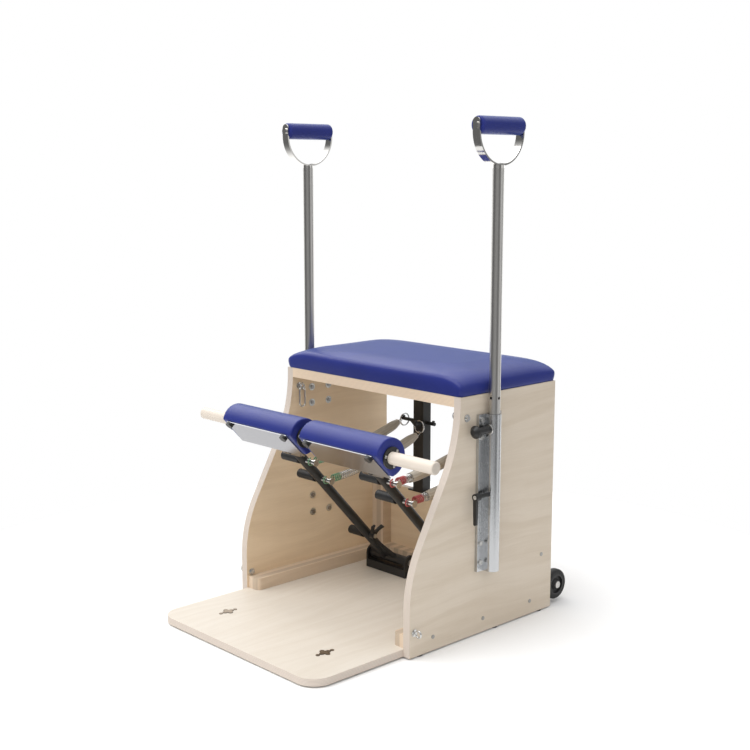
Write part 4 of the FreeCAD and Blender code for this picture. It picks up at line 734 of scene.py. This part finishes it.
class ChairSizes(bpy.types.PropertyGroup):
    """Sizes of the pieces that are made here."""

    board_ply: length_value("Thickness of a ply in the boards", 0.0015)
    strap_drop: length_value("Height of the polished straps under the grips", 0.075)
    nut_inset: length_value("Distance from the seat board's ends to the nuts", 0.0024)
    fixing_margin: length_value("Distance from the panels to the floor fixings", 0.01)
    seat_corner: length_value("Radius of the seat pad's corners in plan", 0.009)
    seat_foot_inset: length_value("How far the seat pad's foot is drawn in", 0.0025)
    seat_wall: length_value("Height of the seat pad's upright front and back", 0.030)
    seat_shoulder: length_value("Depth of the shoulder above the wall", 0.011)
    seat_crown: length_value("Rise of the top above its shoulders", 0.011)
    seat_crown_reach: length_value("Depth over which the top rises", 0.1)
    seat_end_wall: length_value("Height of the pad's upright ends", 0.016)
    seat_end_reach: length_value("Length over which the pad falls to its ends", 0.1)
    seat_swell: length_value("How far the seat's cover may swell", 0.002)
    seat_voxel: length_value("Face size of the seat pad", 0.005)
    roll_radius: length_value("Radius of the pedal rolls", 0.047)
    roll_flat: length_value("Distance of a roll's flat from its axis", 0.026)
    roll_edge: length_value("Rounding of a roll's end edges", 0.003)
    roll_bore: length_value("Radius of the bore for the rod's bushes", 0.0192)
    roll_swell: length_value("How far a roll's cover may swell", 0.0015)
    flat_hold: length_value("Depth at a roll's flat in which its cover is held", 0.002)
    flat_fade: length_value("Depth over which that hold fades", 0.0015)
    bush_hold: length_value("Distance from the rod in which a roll's cover is held", 0.03)
    bush_fade: length_value("Distance over which that hold fades", 0.003)
    roll_voxel: length_value("Face size of the pedal rolls", 0.0024)
    bush_screw_reach: length_value("Distance of the bushes' screws from the rod", 0.021)
    screw_radius: length_value("Radius of the small screw heads", 0.0034)
    grip_radius: length_value("Radius of the hand grips", 0.021)
    grip_edge: length_value("Rounding of a grip's ends", 0.0045)
    grip_bore: length_value("Radius of the bore for a grip's bolt", 0.0066)
    wire_radius: length_value("Radius of the springs' wire", 0.0018)
    coil_radius: length_value("Radius of the springs' turns", 0.009)
    eye_radius: length_value("Inner radius of a spring's eye on its bar", 0.0074)
    eye_place: length_value("Distance of a bar's axis from its spring's front end", 0.0100)
    hook_radius: length_value("Inner radius of a spring's hook on its ring", 0.0024)
    spring_lead: length_value("Straight wire between a coil and its eye or hook", 0.013)
    spring_offset: length_value("Distance of a spring's eye from its arm", 0.026)
    spring_sag: length_value("How far a spring hangs below its straight line", 0.016)
    spring_mark: length_value("Length of a spring's dipped end", 0.048)
    sleeve_radius: length_value("Radius of the cloth sleeves", 0.0138)
    sleeve_wall: length_value("Thickness of the sleeves' cloth", 0.0012)
    sleeve_gather: length_value("Radius of a sleeve's pedal end", 0.0126)
    sleeve_point: length_value("Radius of a sleeve's ring end", 0.009)
    pedal_angle: bpy.props.FloatProperty(
        description="Rise of the pedal arms at rest", default=math.radians(47.3),
        subtype="ANGLE",
    )
    open_turns_left: bpy.props.IntProperty(description="Turns that show on each left spring", default=14)
    open_turns_right: bpy.props.IntProperty(description="Turns that show on each right spring", default=7)
    hidden_turns: bpy.props.IntProperty(description="Turns of each spring inside its sleeve", default=18)
    open_share_left: bpy.props.FloatProperty(
        description="Share of a left spring before its sleeve", default=0.36,
    )
    open_share_right: bpy.props.FloatProperty(
        description="Share of a right spring before its sleeve", default=0.18,
    )


class ChairColours(bpy.types.PropertyGroup):
    """Colours of the finishes."""

    board: colour_value("Pale birch of the base and seat boards", (0.695, 0.64, 0.565))
    board_edge: colour_value("Cut edges of the boards", (0.70, 0.61, 0.53))
    panel: colour_value("Birch on the panels' outer faces", (0.665, 0.585, 0.485))
    # The inner faces' colour is painted warm bounce light, lighter than the outer birch.
    panel_inside_bounce_light: colour_value("Warmer birch on the panels' inner faces", (0.87, 0.70, 0.50))
    lipping: colour_value("Edges of the seat board", (0.86, 0.68, 0.50))
    batten: colour_value("Solid wood of the battens", (0.73, 0.59, 0.45))
    rod: colour_value("Turned wooden rod", (0.74, 0.66, 0.57))
    cover: colour_value("Blue vinyl of seat, rolls and grips", (0.019, 0.028, 0.19))
    black: colour_value("Black paint, plastic and rubber", (0.012, 0.012, 0.012))
    plate: colour_value("Grey pedal plates", (0.30, 0.30, 0.315))
    aluminium: colour_value("Satin pole guides", (0.53, 0.54, 0.55))
    steel: colour_value("Poles, straps and bolts", (0.55, 0.54, 0.52))
    chrome: colour_value("Springs and rings", (0.66, 0.66, 0.65))
    bronze: colour_value("Floor fixings", (0.30, 0.24, 0.18))
    sleeve: colour_value("Spring sleeves", (0.50, 0.46, 0.395))
    left_mark: colour_value("Dipped ends of the left springs", (0.15, 0.30, 0.17))
    right_mark: colour_value("Dipped ends of the right springs", (0.45, 0.09, 0.09))


class CHAIR_OT_boards(bpy.types.Operator):
    """Give the boards, battens and rod their wood"""

    bl_idname = "chair.boards"
    bl_label = "Finish Boards"

    def execute(self, context):
        colours = context.scene.chair_colours
        ply = context.scene.chair_sizes.board_ply
        # The side and back panels' inner faces get painted bounce light.
        edge, inner = colours.board_edge, colours.panel_inside_bounce_light
        dress(paired("side_panel"), board_finish("side_veneer", colours.panel, edge, Y, X, ply, 0.5, inner))
        dress(["base_board"], board_finish("floor_veneer", colours.board, edge, Y, Z, ply, 0.3))
        dress(["seat_board"], board_finish("seat_veneer", colours.board, colours.lipping, X, Z, ply, 0.5))
        dress(["back_panel"], board_finish("back_veneer", colours.panel, edge, X, Y, ply, 0.5, inner))
        batten, ring = colours.batten, 12 * ply
        dress(["battens"], board_finish("batten_wood", batten, batten, Y, X, ring, 0.5))
        dress(["dowel"], rod_finish(colours.rod))
        return {"FINISHED"}


class CHAIR_OT_metal(bpy.types.Operator):
    """Give the painted, plated and drawn metal its finishes"""

    bl_idname = "chair.metal"
    bl_label = "Finish Metal"

    def execute(self, context):
        sizes = context.scene.chair_sizes
        colours = context.scene.chair_colours
        steel = colours.steel
        pole_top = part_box("grip_left")[0].z - sizes.strap_drop
        panel_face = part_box("seat_board")[1].x - sizes.nut_inset
        board_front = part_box("side_panel_left")[0].y - sizes.fixing_margin
        black = paint_finish("black_powder_coat", colours.black, 0.36, 900.0)
        dress(paired("spring_post", "pedal_arm", "pivot_bracket"), black)
        dress(paired("cross_bars"), metal_finish("bar_steel", steel, 0.2, X, 900.0))
        dress(paired("pedal_plate"), metal_finish("grey_plate", colours.plate, 0.08, X, 700.0, wear=0.6))
        satin = metal_finish("satin_aluminium", colours.aluminium, 0.24, Z, 1500.0, wear=0.3)
        dress(paired("pole_guide"), satin)
        dress(paired("handle"), pole_finish(steel, pole_top))
        dress(["guide_fixings"], bolted_finish(steel, panel_face))
        dress(["axles", "wheel_brackets"], metal_finish("zinc", steel, 0.24, X, 600.0))
        dress(["eyes_and_rings", "snap_hook"], metal_finish("ring_steel", colours.chrome, 0.14, X, 500.0))
        dress(["fixings"], fixing_finish(steel, colours.bronze, board_front))
        return {"FINISHED"}


class CHAIR_OT_black_parts(bpy.types.Operator):
    """Give the rubber, plastic and wheels their finishes"""

    bl_idname = "chair.black_parts"
    bl_label = "Finish Black Parts"

    def execute(self, context):
        black = context.scene.chair_colours.black
        knobs = paired("plunger_knob", "wing_knob", "clamp_lever", "plate_bolts", "bushes", "pole_foot")
        dress(paired("bar_sleeves") + ["feet"], paint_finish("black_rubber", black, 0.5, 500.0))
        dress(knobs + ["guide_bushes"], paint_finish("black_plastic", black, 0.34, 700.0))
        dress(paired("wheel_tyre"), tyre_finish(black))
        dress(paired("wheel_hub"), paint_finish("wheel_plastic", shade(black, 1.6), 0.4, 600.0))
        return {"FINISHED"}


class CHAIR_OT_seat(bpy.types.Operator):
    """Build the crowned seat pad"""

    bl_idname = "chair.seat"
    bl_label = "Build Seat"

    def execute(self, context):
        sizes = context.scene.chair_sizes
        low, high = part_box("seat_cushion")
        points = seat_surface(
            low, high, sizes.seat_corner, sizes.seat_foot_inset, sizes.seat_wall, sizes.seat_shoulder,
            sizes.seat_crown, sizes.seat_crown_reach, sizes.seat_end_wall, sizes.seat_end_reach,
        )
        seat = grid_piece("seat_pad", points)
        evened(seat, sizes.seat_voxel)

        def held(rest):
            return np.clip(1 - (rest[:, 2] - low.z) / sizes.seat_end_wall, 0, 1)

        stuffed(seat, pressure=0.6, reach=sizes.seat_swell, held=held)
        subdivide(seat)
        put_on(seat, cover_finish(context.scene.chair_colours.cover), "frame", "blue_cover", "seat_cushion")
        return {"FINISHED"}


class CHAIR_OT_rolls(bpy.types.Operator):
    """Build the padded pedal rolls and the screws on their bushes"""

    bl_idname = "chair.rolls"
    bl_label = "Build Pedal Rolls"

    def execute(self, context):
        sizes = context.scene.chair_sizes
        colours = context.scene.chair_colours
        cover = cover_finish(colours.cover)
        zinc = metal_finish("screw_zinc", colours.steel, 0.2, X, 500.0)
        rod_low, rod_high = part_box("dowel")
        axis = np.array([(rod_low.y + rod_high.y) / 2, (rod_low.z + rod_high.z) / 2])
        turns = full_turn(180)
        flat_turn = -sizes.pedal_angle - math.pi / 2
        flat_way = np.array([math.cos(flat_turn), math.sin(flat_turn)])
        skin = roll_section(turns, sizes.roll_radius - sizes.roll_swell / 2, sizes.roll_flat, flat_turn)
        small = sizes.screw_radius
        head = screw_surface(small, height=0.6 * small, socket=0.45 * small)

        def held(rest):
            off = rest[:, 1:] - axis
            above_flat = sizes.roll_flat - off @ flat_way
            on_flat = np.clip((sizes.flat_hold - above_flat) / sizes.flat_fade, 0, 1)
            on_bush = np.clip((sizes.bush_hold - np.linalg.norm(off, axis=1)) / sizes.bush_fade, 0, 1)
            return np.maximum(on_flat, on_bush)

        for side in SIDES:
            body = "pedal_" + side
            low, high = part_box("pedal_pad_" + side)
            points = roll_surface((low.x, high.x), axis, skin, turns, sizes.roll_bore, sizes.roll_edge)
            roll = grid_piece("pedal_roll_" + side, points, closed=(True, True))
            evened(roll, sizes.roll_voxel)
            stuffed(roll, pressure=1.0, reach=sizes.roll_swell, held=held)
            put_on(roll, cover, body, "blue_cover", "pedal_pad_" + side)
            bush_low, bush_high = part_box("bushes_" + side)
            for out, face, end in ((-1, bush_low.x, "outer"), (1, bush_high.x, "inner")):
                for number, turn in enumerate(BUSH_SCREW_TURNS):
                    reach = sizes.bush_screw_reach * np.array([math.cos(turn), math.sin(turn)])
                    spot = (face, *(axis + reach))
                    points = np.stack([out * head[..., 2], head[..., 0], head[..., 1]], -1) + spot
                    screw = grid_piece(f"bush_screw_{side}_{end}_{number}", points)
                    put_on(screw, zinc, body, "zinc_steel")
        return {"FINISHED"}


class CHAIR_OT_grips(bpy.types.Operator):
    """Build the hand grips and the screws in the clamp levers"""

    bl_idname = "chair.grips"
    bl_label = "Build Grips"

    def execute(self, context):
        sizes = context.scene.chair_sizes
        colours = context.scene.chair_colours
        cover = cover_finish(colours.cover)
        zinc = metal_finish("lever_zinc", colours.chrome, 0.2, Y, 500.0)
        turns = full_turn(80)
        skin = np.full(80, sizes.grip_radius)
        small = sizes.screw_radius
        head = screw_surface(1.5 * small, height=0.4 * small, socket=0.5 * small)
        for side in SIDES:
            low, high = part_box("grip_" + side)
            axis = ((low.x + high.x) / 2, (low.z + high.z) / 2)
            points = roll_surface((low.y, high.y), axis, skin, turns, sizes.grip_bore, sizes.grip_edge)
            grip = grid_piece("hand_grip_" + side, points[..., [1, 0, 2]], closed=(True, True))
            put_on(grip, cover, "hand_pole_" + side, "blue_cover", "grip_" + side)
            hub = joint_place(f"lever_{side}_turn")
            spot = (hub[0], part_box("clamp_lever_" + side)[0].y, hub[2])
            points = np.stack([head[..., 0], -head[..., 2], head[..., 1]], -1) + spot
            screw = grid_piece("lever_screw_" + side, points)
            put_on(screw, zinc, "lever_" + side, "zinc_steel")
        return {"FINISHED"}


class CHAIR_OT_springs(bpy.types.Operator):
    """Wind the springs and sew their sleeves"""

    bl_idname = "chair.springs"
    bl_label = "Build Springs"

    def execute(self, context):
        sizes = context.scene.chair_sizes
        colours = context.scene.chair_colours
        cloth = weave_finish(colours.sleeve)
        wire = sizes.wire_radius
        eye = sizes.eye_radius + wire
        hook = sizes.hook_radius + wire
        girth = 2 * math.pi * sizes.sleeve_radius
        pivot = joint_place("pedal_left_swing")
        for side, turns, share, mark in (
            ("left", sizes.open_turns_left, sizes.open_share_left, colours.left_mark),
            ("right", sizes.open_turns_right, sizes.open_share_right, colours.right_mark),
        ):
            steel = spring_finish("spring_steel_" + side, colours.chrome, mark, sizes.spring_mark)
            pad_low, pad_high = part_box("pedal_pad_" + side)
            bar_x = (pad_low.x + pad_high.x) / 2 + sizes.spring_offset
            for level, sideways in (("upper", True), ("lower", False)):
                name = level + "_" + side
                arm = "spring_arm_" + name
                bar_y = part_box("spring_" + name)[0].y + sizes.eye_place
                bar_z = pivot[2] + (pivot[1] - bar_y) * math.tan(sizes.pedal_angle)
                ring = joint_place(f"spring_{name}_tilt")
                line = HangingLine((bar_x, bar_y, bar_z), ring, sizes.spring_sag)
                path, out, shares = spring_path(
                    line, sizes.coil_radius, eye, hook, sizes.spring_lead, share, turns, sizes.hidden_turns,
                    sideways,
                )
                along = np.concatenate([shares[:1], shares, shares[-1:]]) * line.length
                points = tube_surface(path, out, wire, 9)
                spring = grid_piece("spring_coil_" + name, points, chart=(2 * math.pi * wire, along))
                put_on(spring, steel, None, "spring_steel", "spring_" + name)
                near = line.points(np.array(BLEND_SHARES))
                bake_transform(spring)

                end = 1 - sizes.spring_lead / line.length
                points, along = sleeve_surface(
                    line, share, end, sizes.sleeve_radius, sizes.sleeve_wall, sizes.sleeve_gather,
                    sizes.sleeve_point,
                )
                sleeve = grid_piece("spring_cloth_" + name, points, closed=(True, True), chart=(girth, along))
                put_on(sleeve, cloth, arm, "grey_fabric", "spring_sleeve_" + name)
        return {"FINISHED"}


class CHAIR_OT_stage(bpy.types.Operator):
    """Set the pale floor, the soft light and the camera"""

    bl_idname = "chair.stage"
    bl_label = "Set Stage"
    floor_radius = 1.35
    # The viewer's right on the floor, for the light round the chair.
    right_way = (0.688, 0.725)
    key_strength = 1.85
    key_spread = math.radians(55)
    key_way = Vector((0.28, 0.42, -1.0))
    camera_place = (2.2356, -2.0910, 1.1293)
    camera_turn = math.radians(46.53)
    camera_rise = math.radians(9.51)
    camera_lens = 59.24

    def execute(self, context):
        scene = context.scene
        scene.view_settings.view_transform = "Standard"
        self.floor()
        self.world(scene)
        self.key_light(scene)
        self.camera(scene)
        return {"FINISHED"}

    def floor(self):
        """A round floor: circles about the chair."""
        reach = np.linspace(0, self.floor_radius, 9)
        turns = full_turn(64)
        x = reach[:, None] * np.cos(turns)
        floor = grid_piece("floor", np.stack([x, reach[:, None] * np.sin(turns), 0 * x], -1))
        white = (0.93, 0.93, 0.93, 1.0)
        finish = Finish("pale_floor", Base_Color=white, Roughness=0.9, Specular_IOR_Level=0.1)
        floor.data.materials.append(finish.material)

    def world(self, scene):
        """White paper behind, soft light from all round, and bright and dark sides for the metal."""
        world = bpy.data.worlds.new("studio")
        world.use_nodes = True
        scene.world = world
        room = Nodes(world.node_tree, "Background")
        x, y, z = room.spots("Generated")
        cosine, sine = self.right_way
        right = x * cosine + y * sine
        front = x * sine - y * cosine
        soft = 0.28 + room.rise(z, -0.05, 0.75) * 0.68 + room.rise(z, 0.0, -0.05) * 0.5
        soft = soft + room.rise(front, 0.1, 0.9) * 0.28 - room.rise(right, 0.0, 0.8) * 0.2
        lamp = room.rise(z, 0.2, 0.52) * (3.1 - room.rise(right, -0.5, 0.4) * 2.3)
        screen = room.rise(z, 0.12, 0.0) * 1.4 + lamp
        mirrored = 0.17 + room.rise(z, 0.35, 0.8) * 0.9 + room.rise(front, -0.15, -0.6) * screen
        mirrored = mirrored + room.rise(right, 0.6, 0.82) * room.rise(front, -0.1, 0.1) * 0.65
        mirrored = mirrored + room.rise(front, 0.45, 0.8) * room.rise(right, 0.32, 0.12) * 0.2
        seen = room.node("ShaderNodeLightPath", out="Is Camera Ray")
        glossy = room.node("ShaderNodeLightPath", out="Is Glossy Ray")
        light = soft * (1.0 - glossy) + mirrored * glossy
        room.feed("Strength", light * (1.0 - seen) + seen)
        room.shader.inputs["Color"].default_value = (1.0, 1.0, 1.0, 1.0)

    def key_light(self, scene):
        light = bpy.data.lights.new("key", "SUN")
        light.energy = self.key_strength
        light.angle = self.key_spread
        key = bpy.data.objects.new("key", light)
        key.rotation_mode = "QUATERNION"
        key.rotation_quaternion = self.key_way.to_track_quat("-Z", "Y")
        scene.collection.objects.link(key)

    def camera(self, scene):
        lens = bpy.data.cameras.new("camera")
        lens.lens = self.camera_lens
        camera = bpy.data.objects.new("camera", lens)
        turn, rise = self.camera_turn, self.camera_rise
        back = Vector((math.sin(turn) * math.cos(rise), -math.cos(turn) * math.cos(rise), math.sin(rise)))
        camera.rotation_mode = "QUATERNION"
        camera.rotation_quaternion = (-back).to_track_quat("-Z", "Y")
        camera.location = self.camera_place
        scene.collection.objects.link(camera)
        scene.camera = camera


class CHAIR_PT_looks(bpy.types.Panel):
    """Steps and values of the chair's looks"""

    bl_idname = "CHAIR_PT_looks"
    bl_label = "Pedal Chair"
    bl_space_type = "VIEW_3D"
    bl_region_type = "UI"
    bl_category = "Pedal Chair"

    def draw(self, context):
        for step in STEPS:
            self.layout.operator(step.bl_idname)
        for group in (context.scene.chair_sizes, context.scene.chair_colours):
            for label in group.__annotations__:
                self.layout.prop(group, label, text=label.replace("_", " ").capitalize())


STEPS = (
    CHAIR_OT_boards, CHAIR_OT_metal, CHAIR_OT_black_parts, CHAIR_OT_seat, CHAIR_OT_rolls,
    CHAIR_OT_grips, CHAIR_OT_springs, CHAIR_OT_stage,
)
CLASSES = (ChairSizes, ChairColours) + STEPS + (CHAIR_PT_looks,)


def register():
    for item in CLASSES:
        bpy.utils.register_class(item)
    bpy.types.Scene.chair_sizes = bpy.props.PointerProperty(type=ChairSizes)
    bpy.types.Scene.chair_colours = bpy.props.PointerProperty(type=ChairColours)


def unregister():
    del bpy.types.Scene.chair_colours
    del bpy.types.Scene.chair_sizes
    for item in reversed(CLASSES):
        bpy.utils.unregister_class(item)


def main():
    register()
    for step in STEPS:
        group, name = step.bl_idname.split(".")
        getattr(getattr(bpy.ops, group), name)()


if __name__ == "__main__":
    main()
